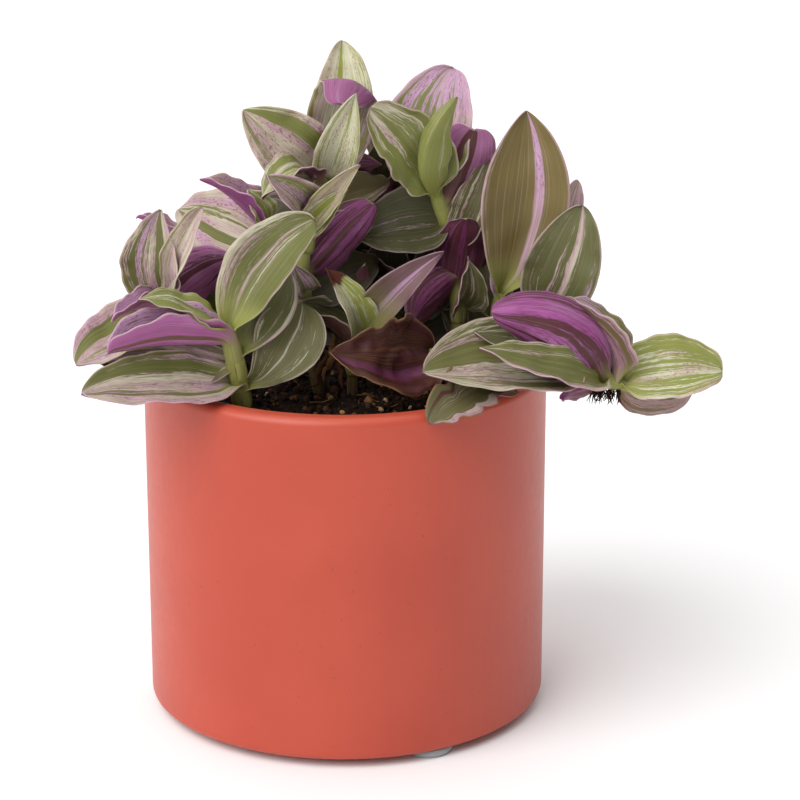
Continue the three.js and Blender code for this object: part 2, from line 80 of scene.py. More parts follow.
def turn(vectors: np.ndarray, axis: np.ndarray, angles: np.ndarray) -> np.ndarray:
    """Vectors turned about an axis by the right-hand rule.

    Args:
        vectors: One vector a row.
        axis: The axis, one long.
        angles: An angle for each row, in radians.

    Returns:
        The turned vectors.
    """
    cosine = np.cos(angles)[:, None]
    sine = np.sin(angles)[:, None]
    lengthwise = (vectors @ axis)[:, None] * axis
    return vectors * cosine + np.cross(axis, vectors) * sine + lengthwise * (1 - cosine)


def ease(values: np.ndarray, low: float, high: float) -> np.ndarray:
    """A smooth step from 0 at low to 1 at high."""
    share = np.clip((values - low) / (high - low), 0, 1)
    return share * share * (3 - 2 * share)


def rumple(points: np.ndarray, length: float, seed: int) -> np.ndarray:
    """A smooth, repeatable unevenness over space.

    Args:
        points: Places, in millimetres, in the last axis.
        length: The usual distance between two humps, in millimetres.
        seed: Picks one unevenness among many.

    Returns:
        A height between about -1 and 1 for each place.
    """
    rng = np.random.default_rng(seed)
    height = np.zeros(points.shape[:-1])
    waves = 5
    for _ in range(waves):
        way = unit(rng.normal(size=3)) * 2 * math.pi / (length * rng.uniform(0.6, 1.5))
        height += np.sin(points @ way + rng.uniform(0, 2 * math.pi))
    return height / math.sqrt(waves)


class Wire:
    """A node's output that adds, subtracts and multiplies like a number."""

    def __init__(self, sketch: "Sketch", socket: Socket) -> None:
        """Holds one output of a sketch's nodes."""
        self.sketch = sketch
        self.socket = socket

    def __add__(self, other: "Value") -> "Wire":
        """This and the other, added."""
        return self.sketch.math("ADD", self, other)

    def __sub__(self, other: "Value") -> "Wire":
        """This less the other."""
        return self.sketch.math("SUBTRACT", self, other)

    def __rsub__(self, other: float) -> "Wire":
        """A number less this."""
        return self.sketch.math("SUBTRACT", other, self)

    def __mul__(self, other: "Value") -> "Wire":
        """This and the other, multiplied."""
        return self.sketch.math("MULTIPLY", self, other)


Value = Wire | float


class Sketch:
    """A node material being drawn. Its methods hand out wires, so that a finish reads like sums."""

    def __init__(self, name: str) -> None:
        """Starts a material with its own Principled shader.

        Args:
            name: The material's name.
        """
        self.material = bpy.data.materials.new(name)
        self.material.use_nodes = True
        self.tree = self.material.node_tree
        self.shader = self.tree.nodes["Principled BSDF"]

    def feed(self, socket: Socket, value: Value | Colour) -> None:
        """Links a socket to a wire, or sets it to a plain value.

        Args:
            socket: The socket.
            value: What it takes.
        """
        if isinstance(value, Wire):
            self.tree.links.new(value.socket, socket)
        else:
            socket.default_value = value

    def node(self, kind: str, inputs: dict[str | int, Value | Colour], **settings: object) -> bpy.types.Node:
        """A new node.

        Args:
            kind: The node's kind.
            inputs: What its sockets take, by name or place.
            settings: Its other settings.

        Returns:
            The node.
        """
        made = self.tree.nodes.new(kind)
        for name, setting in settings.items():
            setattr(made, name, setting)
        for key, value in inputs.items():
            self.feed(made.inputs[key], value)
        return made

    def wire(
        self, kind: str, output: str | int, inputs: dict[str | int, Value | Colour], **settings: object
    ) -> Wire:
        """One output of a new node, which takes its inputs and settings as node does."""
        return Wire(self, self.node(kind, inputs, **settings).outputs[output])

    def math(self, operation: str, first: Value, second: Value = 0.0) -> Wire:
        """One sum of two numbers, by its name, such as MULTIPLY."""
        return self.wire("ShaderNodeMath", 0, {0: first, 1: second}, operation=operation)

    def step(self, value: Value, low: Value, high: Value) -> Wire:
        """A smooth step from 0 where the value is low to 1 where it is high."""
        inputs = {"Value": value, "From Min": low, "From Max": high}
        return self.wire("ShaderNodeMapRange", "Result", inputs, interpolation_type="SMOOTHSTEP")

    def split(self, vector: Wire) -> tuple[Wire, Wire, Wire]:
        """A vector's three numbers."""
        x, y, z = self.node("ShaderNodeSeparateXYZ", {0: vector}).outputs
        return Wire(self, x), Wire(self, y), Wire(self, z)

    def mark(self, name: str) -> tuple[Wire, Wire, Wire]:
        """The three numbers that the mesh carries under a name."""
        return self.split(self.wire("ShaderNodeAttribute", "Vector", {}, attribute_name=name))

    def place(self) -> Wire:
        """The place on the piece, in metres in the object's frame."""
        return self.wire("ShaderNodeTexCoord", "Object", {})

    def join(self, x: Value, y: Value, z: Value) -> Wire:
        """Three numbers as one vector."""
        return self.wire("ShaderNodeCombineXYZ", 0, {0: x, 1: y, 2: z})

    def noise(self, vector: Wire, scale: float, detail: float = 2.0, roughness: float = 0.5) -> Wire:
        """A cloudy noise around 0.5 with that many finer layers, which its roughness strengthens."""
        inputs = {"Vector": vector, "Scale": scale, "Detail": detail, "Roughness": roughness}
        return self.wire("ShaderNodeTexNoise", "Fac", inputs)

    def mix(self, share: Value, first: Wire | Colour, second: Wire | Colour) -> Wire:
        """Two colours mixed, with a share of the second."""
        return self.wire("ShaderNodeMix", 2, {"Factor": share, 6: first, 7: second}, data_type="RGBA")

    def ramp(self, value: Value, stops: Stops) -> Wire:
        """A colour picked from a row of colours.

        Args:
            value: Where to pick.
            stops: Each colour and its place between 0 and 1.

        Returns:
            The colour.
        """
        made = self.node("ShaderNodeValToRGB", {0: value})
        elements = made.color_ramp.elements
        while len(elements) < len(stops):
            elements.new(1.0)
        for element, (position, colour) in zip(elements, stops):
            element.position = position
            element.color = colour
        return Wire(self, made.outputs["Color"])

    def relief(self, height: Wire, distance: float, strength: float = 1.0) -> None:
        """Lets a height stand out of the surface, with a distance in metres for a height of 1."""
        inputs = {"Distance": distance, "Strength": strength, "Height": height}
        self.feed(self.shader.inputs["Normal"], self.wire("ShaderNodeBump", "Normal", inputs))

    def finish(self, colour: Wire, roughness: Value, **settings: float | tuple) -> bpy.types.Material:
        """Gives the shader its colour, its roughness and its plain settings.

        Args:
            colour: The surface's colour.
            roughness: How dull it is.
            settings: Other sockets, by name with underscores for spaces.

        Returns:
            The finished material.
        """
        self.feed(self.shader.inputs["Base Color"], colour)
        self.feed(self.shader.inputs["Roughness"], roughness)
        for name, setting in settings.items():
            self.shader.inputs[name.replace("_", " ")].default_value = setting
        return self.material


@dataclass(frozen=True)
class CoralGlaze:
    """A satin coral glaze over fired clay, a little cloudy, lighter on the lip from thinner glaze and a
    painted highlight.
    """

    body: Colour = srgb(200, 77, 53)
    cloud: Colour = srgb(193, 71, 48)
    # Lighter coral for the lip: partly thinner glaze, partly a painted highlight along the rounded rim.
    lip: Colour = srgb(208, 91, 66)
    speck: Colour = srgb(150, 56, 42)
    lip_blend: float = 0.002

    def build(self, lip_height: float) -> bpy.types.Material:
        """Draws the glaze.

        Args:
            lip_height: The height where the lip starts, in metres.

        Returns:
            The material.
        """
        sketch = Sketch("coral_glaze")
        place = sketch.place()
        height = sketch.split(place)[2]
        clouds = sketch.step(sketch.noise(place, 34.0, 3.0), 0.3, 0.7)
        colour = sketch.mix(clouds, self.body, self.cloud)
        # The lip is painted lighter, partly for thinner glaze and partly as a painted highlight.
        lip_glaze_and_highlight = sketch.step(height, lip_height, lip_height + self.lip_blend)
        colour = sketch.mix(lip_glaze_and_highlight * 0.55, colour, self.lip)
        pits = sketch.step(sketch.noise(place, 900.0, 1.0), 0.74, 0.8)
        colour = sketch.mix(pits * 0.5, colour, self.speck)
        skin = sketch.noise(place, 420.0, 2.0)
        sketch.relief(sketch.noise(place, 60.0, 1.0) * 3.0 + skin, 0.00004)
        return sketch.finish(colour, skin * 0.12 + 0.36, Specular_IOR_Level=0.5)


@dataclass(frozen=True)
class ClearBumper:
    """A clear, slightly milky soft polymer."""

    clear: Colour = srgb(236, 240, 242)
    milky: Colour = srgb(214, 220, 224)

    def build(self) -> bpy.types.Material:
        """Draws the polymer.

        Returns:
            The material.
        """
        sketch = Sketch("clear_bumper")
        haze = sketch.noise(sketch.place(), 500.0, 2.0)
        colour = sketch.mix(haze * 0.3, self.clear, self.milky)
        return sketch.finish(colour, haze * 0.1 + 0.12, Transmission_Weight=0.55, IOR=1.45)


@dataclass(frozen=True)
class MoistPeat:
    """Dark, moist potting mix."""

    dark: Colour = srgb(24, 14, 9)
    light: Colour = srgb(62, 40, 26)

    def build(self) -> bpy.types.Material:
        """Draws the peat.

        Returns:
            The material.
        """
        sketch = Sketch("moist_peat")
        grains = sketch.noise(sketch.place(), 700.0, 4.0, 0.65)
        clumps = sketch.noise(sketch.place(), 160.0, 2.0)
        shade = sketch.step(grains, 0.35, 0.75) * sketch.step(clumps, 0.25, 0.75)
        sketch.relief(clumps * 2.0 + grains, 0.0006)
        colour = sketch.mix(shade, self.dark, self.light)
        return sketch.finish(colour, grains * -0.3 + 0.95, Specular_IOR_Level=0.12)


@dataclass(frozen=True)
class BarkAndPearls:
    """Crumbs of peat and bark, wood chips and white pearls, each grain in its own shade."""

    shades: Stops = (
        (0.0, srgb(22, 13, 9)),
        (0.45, srgb(48, 30, 20)),
        (0.68, srgb(94, 62, 38)),
        (0.84, srgb(158, 118, 72)),
        (0.92, srgb(190, 166, 128)),
        (1.0, srgb(214, 204, 186)),
    )

    def build(self) -> bpy.types.Material:
        """Draws the grains.

        Returns:
            The material.
        """
        sketch = Sketch("bark_and_pearls")
        shade, _, seed = sketch.mark("blade")
        flecks = sketch.noise(sketch.place(), 1300.0, 3.0, 0.6)
        colour = sketch.ramp((flecks - 0.5) * 0.14 + shade, self.shades)
        sketch.relief(flecks, 0.0003)
        return sketch.finish(colour, seed * 0.15 + 0.75, Specular_IOR_Level=0.15)


@dataclass(frozen=True)
class LeafColours:
    """The colours that both sides of a leaf are painted with."""

    lime: Colour = srgb(162, 170, 74)
    fresh: Colour = srgb(136, 142, 74)
    deep: Colour = srgb(108, 110, 58)
    grey: Colour = srgb(96, 96, 60)
    olive: Colour = srgb(124, 106, 60)
    cream: Colour = srgb(224, 220, 196)
    blush: Colour = srgb(212, 192, 180)
    rose: Colour = srgb(211, 172, 186)
    lilac: Colour = srgb(214, 166, 208)
    margin: Colour = srgb(210, 190, 178)
    foot: Colour = srgb(168, 170, 90)
    plum: Colour = srgb(90, 40, 56)
    bronze: Colour = srgb(120, 88, 74)
    magenta: Colour = srgb(176, 90, 160)
    wine: Colour = srgb(118, 48, 92)
    mauve: Colour = srgb(140, 92, 112)
    dry_dark: Colour = srgb(56, 25, 18)
    dry_light: Colour = srgb(104, 58, 38)
    dry_edge: Colour = srgb(136, 98, 66)
    burnt: Colour = srgb(96, 48, 32)
    shade: Colour = srgb(22, 10, 12)

    def greens(self) -> Stops:
        """The greens of a blade, from lime at 0 to olive brown at 1."""
        return (0.0, self.lime), (0.35, self.fresh), (0.6, self.deep), (0.8, self.grey), (1.0, self.olive)

    def flushes(self) -> Stops:
        """The colours of a pale stripe, from cream at 0 to lilac at 1."""
        return (0.0, self.cream), (0.35, self.blush), (0.7, self.rose), (1.0, self.lilac)


class LeafPattern:
    """The stripes that run along a variegated blade, what age does to it, and the painted shade of a blade in
    shade.
    """

    def __init__(self, sketch: Sketch, colours: LeafColours) -> None:
        """Draws the stripes from the marks that the blade's mesh carries.

        Args:
            sketch: The material being drawn.
            colours: The leaf's colours.
        """
        self.sketch = sketch
        self.colours = colours
        self.along, across, seed = sketch.mark("blade")
        self.depth, self.pink, cream = sketch.mark("tint")
        lean, tipward, self.dry = sketch.mark("habit")
        centre, half, self.young = sketch.mark("pale_band")
        green_centre, green_half, _ = sketch.mark("green_band")
        # dark is painted shade: how far the blade is darkened towards the shade colour where it lies in
        # shade.
        self.mauve, self.dark, self.under = sketch.mark("wash")
        shift = seed * 50.0

        def layer(length: float, width: float, offset: float, detail: float, line: Wire) -> Wire:
            """Noise drawn out along the blade."""
            return sketch.noise(sketch.join(self.along * length, line * width, shift + offset), 1.0, detail)

        self.wander = layer(2.4, 1.2, 0.0, 2.0, across) - 0.5
        line = self.wander * 0.22 + across
        broad = layer(0.7, 3.4, 3.0, 1.0, line)
        self.fine = layer(0.9, 16.0, 9.0, 2.0, line)
        speck = layer(15.0, 30.0, 5.0, 3.0, line)
        self.blush = layer(1.8, 2.6, 21.0, 1.0, line)
        self.veins = layer(0.9, 42.0, 13.0, 1.0, across)
        dots = sketch.step(layer(34.0, 22.0, 33.0, 2.0, across), 0.55, 0.64)
        self.freckles = dots * sketch.step(self.blush, 0.4, 0.58)
        stripes = (broad * 0.56 + self.fine * 0.44 - 0.5) * 2.4 + 0.5
        rough = (speck - 0.5) * 0.45 + stripes
        level = 1.0 - cream - lean * across * 0.35 - tipward * (self.along - 0.5)
        pale = sketch.step(rough, level - 0.1, level + 0.12)
        solid = sketch.math("MAXIMUM", cream - 0.45, 0.0) * 1.2 + (sketch.step(speck, 0.4, 0.6) * 0.35 + 0.6)
        pale = sketch.math("MINIMUM", pale * solid, 1.0)
        self.band = sketch.step(half - sketch.math("ABSOLUTE", line - centre), -0.02, 0.03) * 0.85
        green = sketch.step(green_half - sketch.math("ABSOLUTE", line - green_centre), -0.015, 0.025)
        pale = sketch.math("MAXIMUM", pale * (1.0 - green), self.band)
        self.pale = pale * (sketch.step(self.veins, 0.4, 0.52) * 0.3 + 0.7)
        self.edge = sketch.step(sketch.math("ABSOLUTE", across), 0.935, 0.985)

    def lines(self, strength: float) -> Wire:
        """The pale lines between the veins."""
        return self.sketch.step(self.veins, 0.56, 0.7) * strength

    def worn_and_painted_shade(self, colour: Wire) -> Wire:
        """Yellows the blade's foot, browns a burnt tip, dries out a withered blade and lays painted shade
        over it.

        Args:
            colour: The colour of the fresh blade.

        Returns:
            The colour with its wear and its painted shade.
        """
        sketch = self.sketch
        colours = self.colours
        foot = 1.0 - sketch.step(self.along, self.young * 0.4, self.young + 0.2)
        lined = sketch.mix(sketch.step(self.fine, 0.42, 0.6) * 0.5, colours.foot, colours.fresh)
        colour = sketch.mix(foot * 0.88, colour, lined)
        withered = sketch.step((self.blush - 0.5) * 1.2 + self.dry, 0.3, 0.62)
        husk = sketch.mix(sketch.step(self.veins, 0.35, 0.65), colours.dry_dark, colours.dry_light)
        husk = sketch.mix(sketch.step(self.blush, 0.52, 0.66) * 0.5, husk, colours.plum)
        husk = sketch.mix(self.band * 0.8, husk, colours.wine)
        colour = sketch.mix(withered, colour, husk)
        colour = sketch.mix(self.edge * sketch.step(self.dry, 0.05, 0.2), colour, colours.dry_edge)
        tip = sketch.step(self.wander * 0.2 + self.along, 0.83, 0.87)
        colour = sketch.mix(tip * sketch.step(self.dry * -1.0, 0.1, 0.3), colour, colours.burnt)
        # Painted shade: dark mixes the whole blade towards the shade colour.
        return sketch.mix(self.dark, colour, colours.shade)

    def finish(self, colour: Wire, glow: float, reach: tuple[float, float, float]) -> bpy.types.Material:
        """Wears the colour and paints its shade, raises the fine veins and the grain of the skin, and
        finishes the side.

        Args:
            colour: The colour of the fresh blade.
            glow: How much light shines through.
            reach: How far red, green and blue light spread in the blade, as shares of 1.2 mm.

        Returns:
            The finished material.
        """
        sketch = self.sketch
        colour = self.worn_and_painted_shade(colour)
        grain = sketch.noise(sketch.place(), 2600.0, 2.0)
        sketch.relief(grain * 0.35 + self.veins, 0.00012, 0.7)
        return sketch.finish(
            colour,
            self.veins * 0.2 + 0.36,
            Specular_IOR_Level=0.28,
            Subsurface_Weight=glow,
            Subsurface_Scale=0.0012,
            Subsurface_Radius=reach,
        )


@dataclass(frozen=True)
class LeafTop:
    """The upper side: green and cream stripes, blushed with pink."""

    colours: LeafColours = LeafColours()
    glow: float = 0.16
    reach: tuple[float, float, float] = (1.0, 0.9, 0.5)

    def build(self) -> bpy.types.Material:
        """Draws the upper side.

        Returns:
            The material.
        """
        colours = self.colours
        sketch = Sketch("leaf_top")
        pattern = LeafPattern(sketch, colours)
        calm = pattern.depth * -0.28 + 0.45
        green = sketch.ramp((pattern.fine - 0.5) * calm + pattern.depth, colours.greens())
        green = sketch.mix(pattern.mauve, green, colours.mauve)
        flush = sketch.step((pattern.blush - 0.5) * 1.4 + pattern.pink, 0.05, 0.95)
        colour = sketch.mix(pattern.pale, green, sketch.ramp(flush, colours.flushes()))
        colour = sketch.mix(pattern.freckles * (pattern.pale * 0.66 + 0.12), colour, colours.bronze)
        colour = sketch.mix(pattern.lines(0.2), colour, colours.blush)
        rim = sketch.mix(flush, colours.margin, colours.rose)
        colour = sketch.mix(pattern.edge * 0.55, colour, rim)
        return pattern.finish(colour, self.glow, self.reach)


@dataclass(frozen=True)
class LeafUnderside:
    """The underside: magenta where the upper side is pale, and plum behind its green stripes."""

    colours: LeafColours = LeafColours()
    glow: float = 0.14
    reach: tuple[float, float, float] = (1.0, 0.5, 0.8)

    def build(self) -> bpy.types.Material:
        """Draws the underside.

        Returns:
            The material.
        """
        colours = self.colours
        sketch = Sketch("leaf_underside")
        pattern = LeafPattern(sketch, colours)
        dark = sketch.mix(pattern.depth, colours.plum, colours.bronze)
        light = sketch.mix(sketch.step(pattern.pink, 0.1, 0.9), colours.wine, colours.magenta)
        light = sketch.mix(sketch.step(pattern.blush, 0.5, 0.75) * 0.35, light, colours.lilac)
        light = sketch.mix(pattern.mauve * 0.6, light, colours.rose)
        colour = sketch.mix(pattern.pale, dark, light)
        green = sketch.ramp(pattern.depth, colours.greens())
        green = sketch.mix(pattern.pale * 0.5, green, colours.blush)
        colour = sketch.mix(pattern.under, colour, green)
        colour = sketch.mix(pattern.lines(0.18), colour, colours.rose)
        colour = sketch.mix(pattern.edge * 0.6, colour, colours.margin)
        return pattern.finish(colour, self.glow, self.reach)


@dataclass(frozen=True)
class FleshyStem:
    """A fleshy stem: yellow green above, olive and plum towards the soil."""

    heights: Stops = (
        (0.0, srgb(84, 64, 42)),
        (0.25, srgb(122, 108, 62)),
        (0.5, srgb(152, 150, 78)),
        (1.0, srgb(158, 162, 84)),
    )
    flush: Colour = srgb(140, 92, 96)

    def build(self) -> bpy.types.Material:
        """Draws the stem.

        Returns:
            The material.
        """
        sketch = Sketch("fleshy_stem")
        along, around, seed = sketch.mark("blade")
        streak = sketch.noise(sketch.join(along * 3.0, around * 4.0, seed * 30.0), 1.0, 2.0)
        colour = sketch.ramp((streak - 0.5) * 0.5 + along, self.heights)
        colour = sketch.mix(sketch.step(streak, 0.55, 0.72) * 0.4, colour, self.flush)
        sketch.relief(streak, 0.0002, 0.6)
        return sketch.finish(
            colour,
            streak * 0.2 + 0.36,
            Subsurface_Weight=0.15,
            Subsurface_Scale=0.0015,
            Subsurface_Radius=(1.0, 0.9, 0.4),
        )


@dataclass(frozen=True)
class PaleFloor:
    """A plain pale floor."""

    light: Colour = (0.93, 0.93, 0.93, 1.0)
    dull: Colour = (0.9, 0.9, 0.9, 1.0)

    def build(self) -> bpy.types.Material:
        """Draws the floor.

        Returns:
            The material.
        """
        sketch = Sketch("pale_floor")
        grain = sketch.noise(sketch.place(), 3.0, 2.0)
        return sketch.finish(sketch.mix(grain * 0.1, self.light, self.dull), 0.9, Specular_IOR_Level=0.1)


MARKS = ("blade", "tint", "habit", "pale_band", "green_band", "wash")


class Slot(Enum):
    """The places of a shoot's materials."""

    TOP = 0
    UNDERSIDE = 1
    STEM = 2


class Skin:
    """Gathers closed surfaces into one mesh, with the marks that its materials read."""

    def __init__(self, origin: Vector) -> None:
        """Starts an empty mesh.

        Args:
            origin: The pot's axis on the floor, in metres.
        """
        self.origin = np.array(origin)
        self.points: list[np.ndarray] = []
        self.faces: Faces = []
        self.slots: list[int] = []
        self.marks: dict[str, list[np.ndarray]] = {name: [] for name in MARKS}
        self.count = 0

    def add(self, points: np.ndarray, faces: Faces, slots: list[int] | None = None, **marks: Marks) -> None:
        """Adds one closed surface.

        Args:
            points: Its corners, in millimetres from the pot's axis.
            faces: Its faces, as places in points.
            slots: A material's place for each face, where they aren't all the first.
            marks: Three numbers for each corner, or three for them all, by name. Those left out are 0.
        """
        self.points.append(points)
        self.faces.extend([corner + self.count for corner in face] for face in faces)
        self.slots.extend(slots or [0] * len(faces))
        for name in MARKS:
            self.marks[name].append(np.broadcast_to(marks.get(name, 0.0), points.shape))
        self.count += len(points)

    def piece(self, name: str, materials: list[bpy.types.Material]) -> bpy.types.Object:
        """Makes the gathered surfaces into an object.

        Args:
            name: The object's name.
            materials: Its materials, in the order of their places.

        Returns:
            The object.
        """
        mesh = bpy.data.meshes.new(name)
        places = np.concatenate(self.points) * MM + self.origin
        mesh.from_pydata(places.tolist(), [], self.faces)
        for material in materials:
            mesh.materials.append(material)
        mesh.polygons.foreach_set("material_index", self.slots)
        for mark, parts in self.marks.items():
            made = mesh.attributes.new(mark, "FLOAT_VECTOR", "POINT")
            made.data.foreach_set("vector", np.concatenate(parts).astype(np.float32).ravel())
        mesh.shade_smooth()
        made = bpy.data.objects.new(name, mesh)
        bpy.context.scene.collection.objects.link(made)
        return made


def circle(sides: int) -> np.ndarray:
    """Even angles round a full circle, in radians."""
    return np.linspace(0, 2 * math.pi, sides, endpoint=False)


def ring_faces(start: int, rings: int, sides: int, low: int, high: int) -> Faces:
    """The faces of a closed body of rings, which follow one another from its low end to its high end.

    Args:
        start: The first ring's first corner. The rings' corners follow one another.
        rings: How many rings there are.
        sides: How many corners a ring has.
        low: The corner in the middle of the low end.
        high: The corner in the middle of the high end.

    Returns:
        The faces.
    """
    last = start + (rings - 1) * sides
    faces = []
    for k in range(sides):
        following = (k + 1) % sides
        faces.append([low, start + following, start + k])
        faces.append([high, last + k, last + following])
        for ring in range(start, last, sides):
            faces.append([ring + k, ring + following, ring + sides + following, ring + sides + k])
    return faces


def turned(profile: list[tuple[float, float]], segments: int) -> tuple[np.ndarray, Faces]:
    """Turns a profile round the vertical axis into a closed surface.

    Args:
        profile: Radius and height of each point, from the bottom of the axis round to its top.
        segments: How many sides the turned shape has.

    Returns:
        Its points and faces.
    """
    points = [(0.0, 0.0, profile[0][1])]
    for radius, height in profile[1:-1]:
        points.extend((radius * math.cos(a), radius * math.sin(a), height) for a in circle(segments))
    points.append((0.0, 0.0, profile[-1][1]))
    return np.array(points), ring_faces(1, len(profile) - 2, segments, 0, len(points) - 1)


def rounded(x: float, z: float, radius: float, start: float, end: float, steps: int = 8) -> list[Span]:
    """A corner of a profile, rounded by a quarter circle.

    Args:
        x: The sharp corner's distance from the axis.
        z: Its height.
        radius: The circle's radius.
        start: The way from the circle's middle to the first point, in degrees.
        end: The way to the last point, a quarter turn on.
        steps: How many steps it takes.

    Returns:
        The points.
    """
    halfway = math.radians((start + end) / 2)
    middle_x = x - math.copysign(radius, math.cos(halfway))
    middle_z = z - math.copysign(radius, math.sin(halfway))
    angles = np.radians(np.linspace(start, end, steps + 1))
    return [(middle_x + radius * math.cos(a), middle_z + radius * math.sin(a)) for a in angles]


def tube(line: np.ndarray, radii: np.ndarray, sides: int, dome: float = 0.6) -> tuple[np.ndarray, Faces]:
    """A closed round bar along a line.

    Args:
        line: Its middle line.
        radii: Its radius at each point of the line.
        sides: How many sides it has.
        dome: How far its far end bulges, as a share of the radius there.

    Returns:
        Its points and faces, row by row, then the two ends' middles.
    """
    askew = np.array([0.3, 1.0, 0.1])
    runs = unit(np.gradient(line, axis=0))
    across = unit(np.cross(askew, runs[0]))
    angles = circle(sides)
    rows = []
    for centre, run, radius in zip(line, runs, radii):
        across = unit(across - run * float(across @ run))
        other = np.cross(run, across)
        rows.append(centre + radius * (np.outer(np.cos(angles), across) + np.outer(np.sin(angles), other)))
    points = np.concatenate([*rows, line[:1], line[-1:] + runs[-1:] * radii[-1] * dome])
    ends = len(line) * sides
    return points, ring_faces(0, len(line), sides, ends, ends + 1)


@dataclass(frozen=True)
class Pot:
    """The straight-sided glazed pot, in millimetres."""

    origin: Vector
    radius: float
    bottom: float
    rim: float
    wall: float = 5.5
    floor: float = 5.0
    lip_round: float = 2.2
    inner_lip_round: float = 1.6
    bottom_round: float = 1.6
    inside_round: float = 2.0
    segments: int = 192

    def build(self) -> bpy.types.Object:
        """Turns the pot.

        Returns:
            Its piece.
        """
        inside = self.radius - self.wall
        floor_top = self.bottom + self.floor
        profile = [
            (0.0, self.bottom),
            *rounded(self.radius, self.bottom, self.bottom_round, -90, 0),
            *rounded(self.radius, self.rim, self.lip_round, 0, 90),
            *rounded(inside, self.rim, self.inner_lip_round, 90, 180),
            *rounded(inside, floor_top, self.inside_round, 0, -90, 4),
            (0.0, floor_top),
        ]
        skin = Skin(self.origin)
        skin.add(*turned(profile, self.segments))
        glaze = CoralGlaze().build((self.rim - self.lip_round) * MM)
        piece = skin.piece("glazed_pot", [glaze])
        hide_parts("pot")
        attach(piece, ROOT_BODY)
        return piece


@dataclass(frozen=True)
class Bumper:
    """One clear stick-on bumper under the pot, in millimetres."""

    origin: Vector
    node: str
    radius: float
    height: float
    edge_round: float = 0.9
    segments: int = 64

    def build(self) -> bpy.types.Object:
        """Turns the bumper.

        Returns:
            Its piece.
        """
        profile = [
            (0.0, 0.0),
            *rounded(self.radius, 0.0, self.edge_round, -90, 0, 6),
            (self.radius, self.height),
            (0.0, self.height),
        ]
        skin = Skin(self.origin)
        skin.add(*turned(profile, self.segments))
        piece = skin.piece(f"{self.node}_clear", [ClearBumper().build()])
        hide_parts(self.node)
        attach(piece, ROOT_BODY)
        return piece


